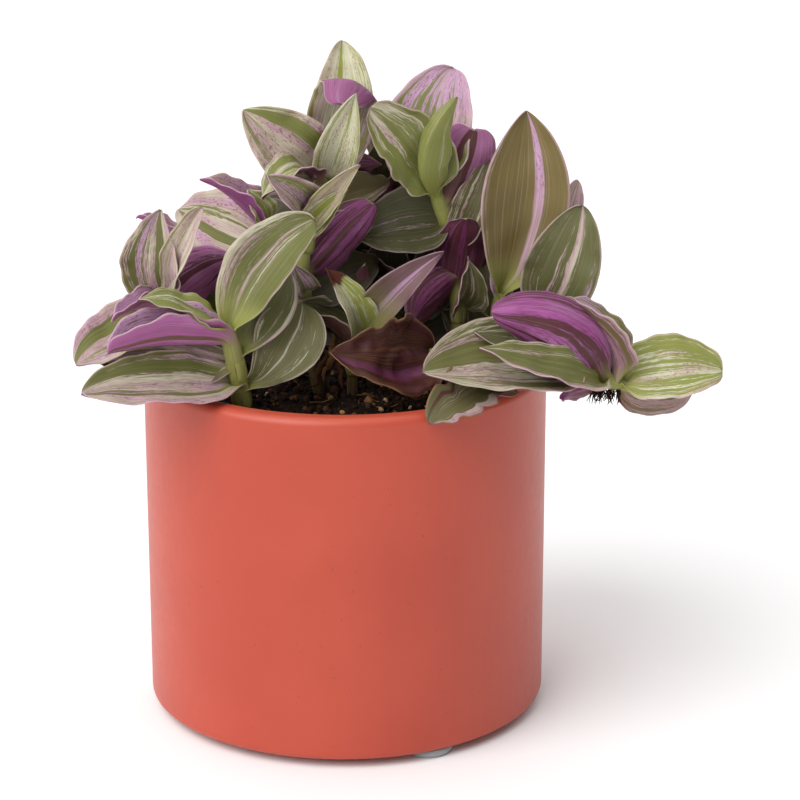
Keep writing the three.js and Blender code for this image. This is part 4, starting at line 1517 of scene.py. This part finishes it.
FRONT_SHOOTS = (
    Shoot(
        "front_left_shoot",
        ((-23, -25, 77), (-24, -27, 84), (-25, -29, 93), (-27, -32, 105)),
        2.3,
        (
            Leaf("b1", (-26, -31, 103), (-6.5, -23, 129), (-0.15, -0.9, 0.4), 8.5,
                 Paint(0.56, 0.5, 0.25, lean=-0.9, young=0.15, pale=(-0.12, 0.04)),
                 sway=-3.5, blunt=0.8, belly=0.95),
            Leaf("b2", (-25, -28.5, 97), (-13, -19, 116), (0.1, -1, 0.3), 6.8,
                 Paint(0.7, 0.6, 0.1, lean=0.5, young=0.1, pale=(0.92, 0.07)), fold=6, cup=20, belly=1.2),
            Leaf("b3", (-23, -27.5, 88.5), (-10, -20, 108), (0.1, -1, 0.3), 9.5,
                 Paint(0.68, 0.15, 0.27, mauve=0.06, pale=(0.12, 0.03)), sway=2, blunt=0.4, belly=1.5),
            Leaf("d1", (-28, -32, 103), (-47, -40, 114), (0, -0.35, 1), 6,
                 Paint(0.35, 0.15, 0.3, young=0.45)),
            Leaf("d2", (-26, -31, 100), (-54, -43, 102), (0, -0.2, 1), 9.5,
                 Paint(0.85, 1.2, 0.66, mauve=0.15, green=(-0.36, 0.07)), fold=58, blunt=1.0),
            Leaf("d5", (-25, -29, 89), (-60, -46, 93), (0, -0.6, 0.8), 9,
                 Paint(0.6, 0.5, 0.54, lean=-0.8, green=(-0.38, 0.05)), blunt=0.8),
        ),
    ),
    Shoot(
        "left_shoot",
        ((-36, -8, 77), (-38, -11, 88), (-41, -16, 100), (-43, -20, 110)),
        2.1,
        (
            Leaf("c1", (-43, -20, 109), (-43, -21, 131), (-0.3, -0.9, 0.25), 8.5,
                 Paint(0.62, 0.55, 0.48, green=(0.2, 0.16), pale=(0.62, 0.22)), sway=-1, belly=0.68),
            Leaf("c2", (-42, -20.3, 107), (-33, -23, 132), (-0.35, -0.9, 0.2), 4.5,
                 Paint(0.35, 0.45, 0.72, pale=(0.0, 0.12)), arch=3.5, fold=30, blunt=0.5, belly=1.3),
            Leaf("c3", (-42, -18, 107), (-26, -15, 118), (-0.1, 0.9, 0.3), 9,
                 Paint(0.15, 1.2, 0.74, mauve=0.4, green=(0.25, 0.1))),
            Leaf("d3", (-42, -18, 102), (-62.6, -33, 96.2), (-0.2, -0.6, 0.8), 9.5,
                 Paint(0.5, 0.6, 0.56, green=(0.5, 0.2)), blunt=0.8),
            Leaf("d4", (-42, -19, 106), (-54, -33, 107), (0, -0.2, 1), 5,
                 Paint(0.3, 1.0, 0.75, mauve=0.6), fold=50),
        ),
    ),
    Shoot(
        "mid_left_shoot",
        ((-16, -2, 77), (-18, -4, 100), (-19, -7, 116), (-19, -9, 126)),
        1.9,
        (
            Leaf("c4", (-19, -7, 118), (-41, 5, 125), (0, -0.85, 0.5), 10,
                 Paint(0.5, 0.5, 0.72, green=(-0.25, 0.16))),
            Leaf("c5", (-19, -8, 121), (-34, -15, 137), (0.65, -0.25, 0.7), 6, Paint(0.3, 0.6, 0.8), fold=45),
            Leaf("c6", (-19, -9, 125), (-23, -13, 134), (0.4, -0.9, 0.5), 4, Paint(0.1, 0.05, 0.45)),
        ),
    ),
    Shoot(
        "tall_left_shoot",
        ((-5, -5, 77), (-9, -10, 98), (-10, -12, 113), (-8, -8, 126), (-4, 0, 137)),
        2.2,
        (
            Leaf("a1", (-5, -1, 133), (-0.5, 10, 166), (0, -1, 0.2), 8.7,
                 Paint(0.05, 0.1, 0.62, green=(-0.22, 0.08), pale=(0.15, 0.14)), sway=2.3, blunt=0.4),
            Leaf("a2", (-4, 0.2, 135.3), (6.5, 3.5, 170), (-0.08, -1, 0.2), 9.4,
                 Paint(0.25, 0.5, 0.6, mauve=0.2, tipward=0.4, pale=(0.02, 0.08)), hook=-140, blunt=1.1),
            Leaf("a3", (-4, -3, 133), (3, -13.5, 157.3), (0, -1, 0.2), 6, Paint(0.2, 0.12, 0.64), fold=20),
            Leaf("a4", (-6, -2, 136), (-24, -7, 152), (-0.3, -0.8, 0.5), 9.9,
                 Paint(0.42, 0.36, 0.62, lean=-0.3, pale=(0.16, 0.14), green=(0.56, 0.2)),
                 blunt=0.2, belly=0.7),
            Leaf("a5", (-6, -4, 134), (-19, -18, 133), (-0.3, -0.5, 0.8), 6, Paint(0.35, 0.3, 0.55), arch=5),
            Leaf("a6", (-8, -8, 126), (-18, -20, 139), (-0.2, -0.8, 0.6), 6.5,
                 Paint(0.4, 0.6, 0.6, lean=-0.5), cup=55),
            Leaf("a7", (-5, -2, 133), (-12, 0, 138), (0, 0.8, 0.5), 5, Paint(0.5, 0.6, 0.5)),
            Leaf("a8", (-8, -9, 124), (4, -17, 141), (0, -0.9, 0.4), 5,
                 Paint(0.15, 0.5, 0.55, pale=(-0.3, 0.2)), fold=40),
            Leaf("a8b", (-9, -9, 122), (1, -16, 135), (0, -0.9, 0.4), 3.5, Paint(0.2, 0.1, 0.4)),
            Leaf("a9", (-10, -12, 112), (7, -10, 130), (0.1, 0.85, 0.2), 6.5,
                 Paint(0.25, 0.65, 0.45), blunt=1),
            Leaf("e5", (-9, -12, 109), (-12, -18, 117), (0, -0.9, 0.4), 3.5, Paint(0.6, 0.8, 0.5)),
            Leaf("j1", (-5, -2, 132), (9, 2, 137), (0, 0.8, 0.5), 5, Paint(0.3, 0.7, 0.4)),
            Leaf("j2", (-7, -6, 128), (11, 5, 132), (0, -0.9, 0.5), 5, Paint(0.9, 0.5, 0.2)),
        ),
    ),
    Shoot(
        "tall_right_shoot",
        ((26, -1, 77), (28, -3, 100), (27, -2, 118), (22, -3, 132)),
        2.2,
        (
            Leaf("i1", (23, -3, 130), (26.8, 11, 159), (-0.35, -0.85, 0.3), 12.8,
                 Paint(0.45, 0.85, 0.57, tipward=0.65), sway=-2.2, blunt=0.75),
            Leaf("i2", (22, -5, 129), (27, -16, 157), (0.5, 0.8, 0.2), 7,
                 Paint(0.28, 0.1, 0.25, under=1.0, young=0.2, dark=0.08), arch=-5, sway=3, fold=40),
            Leaf("i3", (22, -4, 131), (6.5, -10.5, 153.3), (-0.1, -0.9, 0.35), 9.3,
                 Paint(0.5, 0.4, 0.22, lean=0.3, tipward=0.5), torn=0.1, sway=2.5, blunt=1.0),
            Leaf("i4", (24.5, -4, 126.5), (31.5, -9, 147.8), (0.1, 0.95, 0.2), 9,
                 Paint(0.4, 1.2, 0.95, mauve=0.5, green=(0.05, 0.3)), blunt=1.2),
            Leaf("i5", (27.5, -3, 118), (35, -3, 139), (-0.35, -0.85, 0.4), 5.9,
                 Paint(0.85, 0.5, 0.32, lean=-0.4), sway=2, cup=34, blunt=0.6),
            Leaf("i6", (26, -1, 123), (3, -3, 120), (0, -0.8, 0.6), 10,
                 Paint(0.72, 0.5, 0.26, lean=-0.5, dark=0.5)),
            Leaf("i7", (27, -5, 107), (29.5, -13, 127), (0.1, 0.95, 0.2), 7.5,
                 Paint(0.0, 0.35, 0.35, dark=0.12)),
            Leaf("i8", (28.5, -5.5, 112), (17, -17, 103), (0.2, 0.9, 0.3), 8.8,
                 Paint(0.0, 0.35, 0.5), fold=30),
            Leaf("i9", (27, -5, 103), (30, -14, 117), (0.4, -0.9, 0.3), 6.5, Paint(0.75, 0.5, 0.3), fold=35),
        ),
    ),
    Shoot(
        "tall_leaf_shoot",
        ((36, -5, 77), (37, -7, 95), (38, -8, 107)),
        1.9,
        (
            Leaf("h", (38, -8, 105), (44, -2, 151), (0.05, -0.95, 0.3), 11.8,
                 Paint(0.97, 0.8, 0.1, young=0.1, pale=(0.32, 0.105)), sway=2.3, belly=1.15),
            Leaf("i10", (38, -7, 104), (41, 4, 121), (0, -0.9, 0.4), 4, Paint(0.4, 0.9, 0.8)),
        ),
    ),
    Shoot(
        "right_shoot",
        ((40, 4, 77), (42, -1, 92), (48.8, -13, 104)),
        1.8,
        (
            Leaf("h2", (47.6, -12.3, 102.5), (57.2, -12, 130), (0, -0.9, 0.4), 9.5,
                 Paint(0.72, 0.6, 0.27, pale=(0.22, 0.07)), sway=1, fold=8, cup=16, blunt=0.5),
            Leaf("h4", (46.6, -9, 100), (57.4, 6, 132), (0, -0.9, 0.4), 5, Paint(0.4, 0.6, 0.75), blunt=0.7),
        ),
    ),
    Shoot(
        "trailing_shoot",
        ((31, -15, 77), (32, -16, 88), (41, -20, 94), (52, -24, 93), (61, -26, 91), (67, -25, 89)),
        2.0,
        (
            Leaf("g1", (58, -25, 92), (19, -42, 97), (0, -0.6, 0.8), 14,
                 Paint(0.55, 0.4, 0.4, lean=-0.15, mauve=0.08), arch=1, fold=20, blunt=0.7),
            Leaf("g2", (65, -27, 90), (35, -36, 110), (-0.2, 0.8, -0.6), 12.5,
                 Paint(0.2, 0.9, 0.54, tipward=0.3, dark=0.06),
                 arch=-6, sway=-5, cup=50, blunt=0.9, belly=0.6),
            Leaf("g8", (61, -26, 92), (31, -33, 104), (0, -0.7, 0.7), 6, Paint(0.75, 0.3, 0.2)),
            Leaf("g3", (64, -27, 90), (32, -42, 103), (0.1, -0.6, 0.8), 6.5,
                 Paint(0.56, 0.5, 0.34, pale=(-0.9, 0.12)), arch=3, sway=-3),
            Leaf("g4", (66, -25, 90), (52.5, -23, 109.8), (0.6, 0, 0.8), 9,
                 Paint(0.5, 1.0, 0.62, under=0.45), fold=35, belly=0.65),
            Leaf("g5", (66, -25, 90), (90.5, -26, 92.8), (0, -0.75, 0.65), 9.5,
                 Paint(0.28, 0.25, 0.5, young=0.12), blunt=0.9),
            Leaf("g6", (66, -26, 89), (83, -28, 88), (0, 1, 0.2), 6.5,
                 Paint(0.9, 0.7, 0.55, under=0.75, green=(0.2, 0.14)), sway=-4),
            Leaf("g9", (65, -26, 89), (52, -33, 87.6), (0, 0.9, 0.3), 4.5, Paint(0.4, 0.7, 0.6)),
            Leaf("g7", (46, -22, 93), (20.5, -48, 86.5), (0.3, -0.4, 0.8), 9,
                 Paint(0.66, 0.4, 0.16, mauve=0.1, dry=0.2, pale=(-0.8, 0.2)), arch=3.5, blunt=1, torn=0.3),
        ),
    ),
    Shoot(
        "withered_leaf",
        ((22, -16, 77), (22, -18, 90), (21, -19.5, 96.3)),
        1.6,
        (
            Leaf("f", (21.1, -20.1, 95.3), (-3, -32, 99.2), (0, -0.9, 0.45), 11.2,
                 Paint(0.6, 0.9, 0.36, dry=0.9, dark=0.22, pale=(-0.42, 0.15)),
                 sway=-2, belly=0.6, torn=0.12, crumple=1.6),
        ),
    ),
    Shoot(
        "young_shoot",
        ((2, -9, 77), (2, -10, 88), (3, -12, 97)),
        1.7,
        (
            Leaf("e1", (3, -12, 95), (-4.2, -17, 115.6), (0.4, -0.8, 0.4), 6,
                 Paint(0.1, 0.0, 0.45, dry=-0.5, young=0.35, pale=(-0.5, 0.42)), fold=32, arch=5),
            Leaf("e2", (3, -12, 95), (24, -18, 120), (0.3, -0.7, 0.6), 5,
                 Paint(0.45, 1.2, 0.2, mauve=0.8, dark=0.24, young=0.5, pale=(0.05, 0.14)), arch=5, sway=-2),
            Leaf("e3", (2, -11, 92), (-12, -16, 106), (0.3, -0.3, 0.9), 7.5, Paint(0.75, 0.3, 0.15), fold=38),
            Leaf("e4", (3, -10, 97), (5, -6, 114), (0, 0.9, 0.2), 3.5, Paint(0.3, 0.5, 0.4)),
        ),
    ),
)


# Leaves inside the plant that fill the gaps between the shoots, darkened with painted shade (dark) to stand
# for the shade there.
INNER_LEAVES = {
    "front_left_shoot": (
        Leaf("k1", (-25, -27, 94), (-58, -29, 96.5), (0, -0.9, 0.4), 6,
             Paint(0.7, 0.6, 0.5, mauve=0.3, dark=0.2), fold=8, blunt=0.5),
    ),
    "tall_left_shoot": (
        Leaf("k3", (-10, -11, 106), (8, 2, 113), (0, -0.9, 0.4), 7, Paint(0.85, 0.4, 0.1, dark=0.6)),
        Leaf("k4", (-9, -10, 99), (6, 4, 103), (0, -0.9, 0.4), 7.5, Paint(0.8, 0.4, 0.1, dark=0.7)),
        Leaf("k5", (-8, -7, 125), (-20, 2, 128.5), (0, -0.9, 0.4), 5.5, Paint(0.7, 0.6, 0.3, dark=0.4)),
    ),
    "inner_shoot": (
        Leaf("k6", (9, 13, 112), (20, 4, 128), (0.2, -0.9, 0.3), 8, Paint(0.85, 0.3, 0.1, dark=0.55)),
        Leaf("k7", (9, 13, 106), (-8, 4, 120), (-0.2, -0.9, 0.3), 8, Paint(0.8, 0.3, 0.1, dark=0.55)),
        Leaf("k8", (9, 12, 100), (12, 3, 121), (0, -0.9, 0.3), 8, Paint(0.8, 0.3, 0.1, dark=0.6)),
        Leaf("k13", (9, 14, 126), (15, 10, 147), (0, -0.9, 0.3), 7, Paint(0.7, 0.3, 0.2, dark=0.35)),
        Leaf("k14", (8, 12, 93), (-14, 5, 94), (0, -0.8, 0.5), 7, Paint(0.8, 0.3, 0.1, dark=0.65)),
    ),
    "low_shoot": (
        Leaf("k9", (16, 4, 97), (25, 3, 121), (0.2, -0.9, 0.3), 7.5, Paint(0.8, 0.4, 0.1, dark=0.65)),
        Leaf("k10", (16, 4, 93), (5, 1, 110), (-0.2, -0.9, 0.3), 7.5, Paint(0.8, 0.4, 0.1, dark=0.7)),
        Leaf("k19", (15, 4, 89), (38, 4, 99), (0, -0.9, 0.3), 6.5, Paint(0.8, 0.4, 0.1, dark=0.7)),
    ),
    "right_shoot": (
        Leaf("k11", (42, 0, 91), (33, 1, 109), (-0.2, -0.9, 0.4), 8.5, Paint(0.75, 0.5, 0.2, dark=0.5)),
        Leaf("k15", (41.5, 2, 87), (24, 2, 101), (-0.2, -0.9, 0.4), 7.5, Paint(0.75, 0.5, 0.2, dark=0.6)),
        Leaf("k16", (42, 0, 90), (45, 4, 111), (0, -0.9, 0.4), 6.5, Paint(0.75, 0.5, 0.2, dark=0.55)),
    ),
    "tall_leaf_shoot": (
        Leaf("k18", (36.5, -5, 99), (33, 1, 128), (0, -0.9, 0.4), 5.5, Paint(0.75, 0.5, 0.2, dark=0.5)),
    ),
    "trailing_shoot": (
        Leaf("k20", (64, -24, 91), (60, -22.5, 102), (0.3, -0.9, 0.3), 3.5, Paint(0.5, 0.8, 0.5, dark=0.25)),
    ),
    "mid_left_shoot": (
        Leaf("k17", (-17, -3, 98), (-10, 4, 119), (0, -0.9, 0.3), 7, Paint(0.8, 0.4, 0.2, dark=0.6)),
    ),
    "left_shoot": (
        Leaf("k12", (-38, -11, 90), (-28, -6, 108), (0.2, -0.9, 0.3), 8, Paint(0.4, 0.7, 0.3, dark=0.5)),
    ),
}


def draw(seed: float, key: int, low: float, high: float) -> float:
    """A repeatable draw between two limits for each seed and key."""
    wide = math.sin(12.9898 * (seed + 1) + 78.233 * key) * 43758.5453
    return low + (high - low) * (wide - math.floor(wide))


@dataclass(frozen=True)
class SpiralRule:
    """How leaves stand on the stems that the front ones hide, and how far each may be off that."""

    golden_angle: float = 137.5
    lowest_leaf: float = 0.25
    highest_leaf: float = 0.98
    lowest_rise: float = 8.0
    highest_rise: float = 60.0
    top_shortening: float = 0.3
    width_share: float = 0.31
    turns: Span = (-12.0, 12.0)
    rises: Span = (-7.0, 7.0)
    lengths: Span = (0.9, 1.1)
    arches: Span = (1.5, 4.0)
    folds: Span = (12.0, 34.0)
    sways: Span = (-1.5, 1.5)
    depths: Span = (0.15, 0.85)
    creams: Span = (0.25, 0.7)
    leans: Span = (-0.5, 0.5)

    def shoot(
        self,
        name: str,
        foot: Place,
        top: Place,
        radius: float,
        start: float,
        count: int,
        length: float,
        skip: tuple[int, ...] = (),
    ) -> Shoot:
        """A shoot whose leaves leave its stem at the golden angle, each a little off the rule.

        Args:
            name: The shoot's name.
            foot: Where its stem stands in the soil.
            top: Where its stem ends.
            radius: The stem's radius.
            start: The way that the lowest leaf points, in degrees.
            count: How many leaves the rule places.
            length: The lowest leaf's length.
            skip: Leaves that have dropped off.

        Returns:
            The shoot.
        """
        leaves = []
        for i in range(count):
            if i in skip:
                continue
            share = i / (count - 1)
            seed = 7 * foot[0] + 3 * foot[1] + i
            stand = self.lowest_leaf + (self.highest_leaf - self.lowest_leaf) * share
            base = np.array(foot) * (1 - stand) + np.array(top) * stand
            angle = math.radians(start + self.golden_angle * i + draw(seed, 1, *self.turns))
            rise = self.lowest_rise + (self.highest_rise - self.lowest_rise) * share
            rise = math.radians(rise + draw(seed, 2, *self.rises))
            reach = length * (1 - self.top_shortening * share) * draw(seed, 3, *self.lengths)
            level = np.array([math.cos(angle), math.sin(angle), 0.0])
            along = level * math.cos(rise) + np.array([0, 0, math.sin(rise)])
            face = -level * math.sin(rise) + np.array([0, 0, math.cos(rise)])
            leaf = Leaf(
                f"{name}_{i}",
                tuple(base),
                tuple(base + along * reach),
                tuple(face),
                self.width_share * reach,
                Paint(
                    depth=draw(seed, 8, *self.depths),
                    pink=draw(seed, 9, 0, 1),
                    cream=draw(seed, 10, *self.creams),
                    lean=draw(seed, 11, *self.leans),
                ),
                arch=draw(seed, 4, *self.arches),
                fold=draw(seed, 5, *self.folds),
                sway=draw(seed, 6, *self.sways),
                phase=draw(seed, 7, 0, 1),
            )
            leaves.append(leaf)
        return Shoot(name, (foot, top), radius, tuple(leaves))


def hidden_shoots() -> tuple[Shoot, ...]:
    """Lays out the shoots that the front ones hide.

    Returns:
        The shoots.
    """
    rule = SpiralRule()
    return (
        rule.shoot("back_left_shoot", (-33, 14, 77), (-36, 20, 110), 1.9, 134, 5, 30),
        rule.shoot("back_mid_left_shoot", (-16, 24, 77), (-15, 30, 115), 2.0, 126, 5, 32),
        rule.shoot("back_middle_shoot", (4, 30, 77), (5, 36, 116), 1.9, 102, 5, 32),
        rule.shoot("back_mid_right_shoot", (24, 24, 77), (27, 29, 118), 1.9, 48, 5, 32),
        rule.shoot("back_right_shoot", (35, 15, 77), (42, 23, 110), 1.9, 324, 5, 29),
        rule.shoot("inner_shoot", (8, 11, 77), (9, 14, 132), 1.9, 162, 6, 28, skip=(0, 1)),
        rule.shoot("low_shoot", (15, 3, 77), (16, 6, 111), 1.7, 258, 4, 25),
    )


@dataclass(frozen=True)
class Oddments:
    """A tuft of dry roots under the trailing stem and dry scraps at the young shoot, in millimetres."""

    origin: Vector
    tuft: Place = (63.0, -26.0, 88.0)
    tuft_reach: Place = (3.2, 1.2, 0.8)
    roots: int = 60
    root_points: int = 6
    root_radii: Span = (0.22, 0.08)
    root_shades: Span = (0.1, 0.6)
    scraps: tuple[tuple[Place, Place], ...] = (
        ((-3.0, -15.0, 98.5), (-4.5, -20.0, 88.5)),
        ((-2.0, -14.0, 97.0), (-1.5, -19.0, 86.5)),
        ((-4.0, -14.0, 94.0), (-7.5, -21.0, 87.0)),
    )
    scrap_points: int = 12
    scrap_radius: float = 0.75
    scrap_least: float = 0.1
    scrap_curl: float = 0.7
    scrap_shades: Span = (0.6, 0.74)
    seed: int = 11

    def build(self) -> bpy.types.Object:
        """Builds the tuft and the scraps.

        Returns:
            Their piece.
        """
        rng = np.random.default_rng(self.seed)
        skin = Skin(self.origin)
        for _ in range(self.roots):
            start = np.array(self.tuft) + rng.uniform(-1, 1, 3) * self.tuft_reach
            drop = np.array([rng.uniform(-1.8, 1.4), rng.uniform(-1.2, 0.6), -rng.uniform(1.0, 3.2)])
            bow = rng.uniform(-0.5, 0.5, 3)
            share = np.linspace(0, 1, self.root_points)[:, None]
            line = start + drop * share + bow * np.sin(math.pi * share)
            points, faces = tube(line, np.linspace(*self.root_radii, self.root_points), 5)
            skin.add(points, faces, blade=(rng.uniform(*self.root_shades), 0.0, 0.5))
        for top, foot in self.scraps:
            share = np.linspace(0, 1, self.scrap_points)[:, None]
            line = np.array(top) * (1 - share) + np.array(foot) * share
            curl = np.stack([rumple(line, 5, self.seed + k) for k in range(3)], axis=-1)
            radii = self.scrap_radius * np.sin(math.pi * (0.1 + 0.85 * share[:, 0])) + self.scrap_least
            points, faces = tube(line + self.scrap_curl * curl, radii, 8)
            skin.add(points, faces, blade=(rng.uniform(*self.scrap_shades), 0.0, 0.5))
        piece = skin.piece("dry_scraps", [BarkAndPearls().build()])
        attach(piece, ROOT_BODY)
        return piece


@dataclass(frozen=True)
class Plant:
    """All the leafy stems."""

    origin: Vector

    def build(self) -> list[bpy.types.Object]:
        """Grows every shoot.

        Returns:
            Their pieces.
        """
        materials = [LeafTop().build(), LeafUnderside().build(), FleshyStem().build()]
        pieces = []
        for shoot in (*FRONT_SHOOTS, *hidden_shoots()):
            slot = "withered_leaf" if shoot.name == "withered_leaf" else "leafy_shoot"
            full = replace(shoot, leaves=shoot.leaves + INNER_LEAVES.get(shoot.name, ()))
            pieces.append(full.build(self.origin, materials, slot))
        return pieces


@dataclass(frozen=True)
class SoftLight:
    """A broad, even light: where it comes from, how wide it looks in degrees, and how strong it is."""

    name: str
    source: Place
    spread: float
    strength: float

    def build(self) -> None:
        """Hangs the light."""
        lamp = bpy.data.lights.new(self.name, "SUN")
        lamp.angle = math.radians(self.spread)
        lamp.energy = self.strength
        made = bpy.data.objects.new(self.name, lamp)
        made.location = self.source
        made.rotation_euler = (-Vector(self.source)).to_track_quat("-Z", "Y").to_euler()
        bpy.context.scene.collection.objects.link(made)


@dataclass(frozen=True)
class Studio:
    """The pale floor, the soft lights and the camera, in metres."""

    origin: Vector
    camera_place: Place = (0.0136, -0.633, 0.272)
    camera_pitch: float = 17.08
    lens: float = 119.25
    sensor: float = 36.0
    floor_size: float = 30.0
    left_sky: float = 0.74
    right_sky: float = 0.24
    lights: tuple[SoftLight, ...] = (
        SoftLight("key_light", (-0.6, -0.6, 0.8), 50.0, 2.2),
        SoftLight("top_light", (0.0, 0.3, 1.0), 100.0, 1.15),
    )

    def build(self) -> None:
        """Lays the floor, hangs the lights and places the camera."""
        half = self.floor_size / 2
        mesh = bpy.data.meshes.new("floor")
        corners = [(-half, -half, 0), (half, -half, 0), (half, half, 0), (-half, half, 0)]
        mesh.from_pydata(corners, [], [(0, 1, 2, 3)])
        mesh.materials.append(PaleFloor().build())
        floor = bpy.data.objects.new("floor", mesh)
        bpy.context.scene.collection.objects.link(floor)
        for light in self.lights:
            light.build()
        self.light_room()
        bpy.context.scene.view_settings.view_transform = "Standard"
        self.place_camera()

    def light_room(self) -> None:
        """Lights the room evenly, brighter from the left than from the right."""
        world = bpy.data.worlds.new("soft_room")
        world.use_nodes = True
        nodes = world.node_tree.nodes
        links = world.node_tree.links
        background = nodes["Background"]
        background.inputs["Color"].default_value = (1.0, 1.0, 1.0, 1.0)
        parts = nodes.new("ShaderNodeSeparateXYZ")
        links.new(nodes.new("ShaderNodeTexCoord").outputs["Generated"], parts.inputs[0])
        level = nodes.new("ShaderNodeMapRange")
        level.inputs["From Min"].default_value = -1.0
        level.inputs["From Max"].default_value = 1.0
        level.inputs["To Min"].default_value = self.left_sky
        level.inputs["To Max"].default_value = self.right_sky
        links.new(parts.outputs[0], level.inputs["Value"])
        links.new(level.outputs["Result"], background.inputs["Strength"])
        bpy.context.scene.world = world

    def place_camera(self) -> None:
        """Places the camera where the photograph was taken from."""
        lens = bpy.data.cameras.new("camera")
        lens.lens = self.lens
        lens.sensor_width = self.sensor
        camera = bpy.data.objects.new("camera", lens)
        camera.location = self.origin + Vector(self.camera_place)
        camera.rotation_euler = (math.radians(90 - self.camera_pitch), 0.0, 0.0)
        bpy.context.scene.collection.objects.link(camera)
        bpy.context.scene.camera = camera


def floor_spot(low: Vector, high: Vector) -> Vector:
    """The spot on the floor under the middle of a box."""
    return Vector(((low.x + high.x) / 2, (low.y + high.y) / 2, 0.0))


def report(piece: bpy.types.Object) -> None:
    """Reports a finished piece."""
    LOG.info("built %s", piece.name)


def main() -> None:
    """Builds the pot, its bumpers, the soil, the plant and the studio, in that order."""
    logging.basicConfig(level=logging.INFO, format="%(name)s: %(message)s")
    low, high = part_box("pot")
    origin = floor_spot(low, high)
    report(Pot(origin, (high.x - low.x) / 2 / MM, low.z / MM, high.z / MM).build())
    for node in ("bumper_front", "bumper_right", "bumper_left"):
        low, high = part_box(node)
        report(Bumper(floor_spot(low, high), node, (high.x - low.x) / 2 / MM, high.z / MM).build())
    low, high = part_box("soil")
    soil = Soil(origin, (high.x - low.x) / 2 / MM, low.z / MM)
    report(soil.bed())
    report(soil.grains())
    for piece in Plant(origin).build():
        report(piece)
    report(Oddments(origin).build())
    Studio(origin).build()


if __name__ == "__main__":
    main()
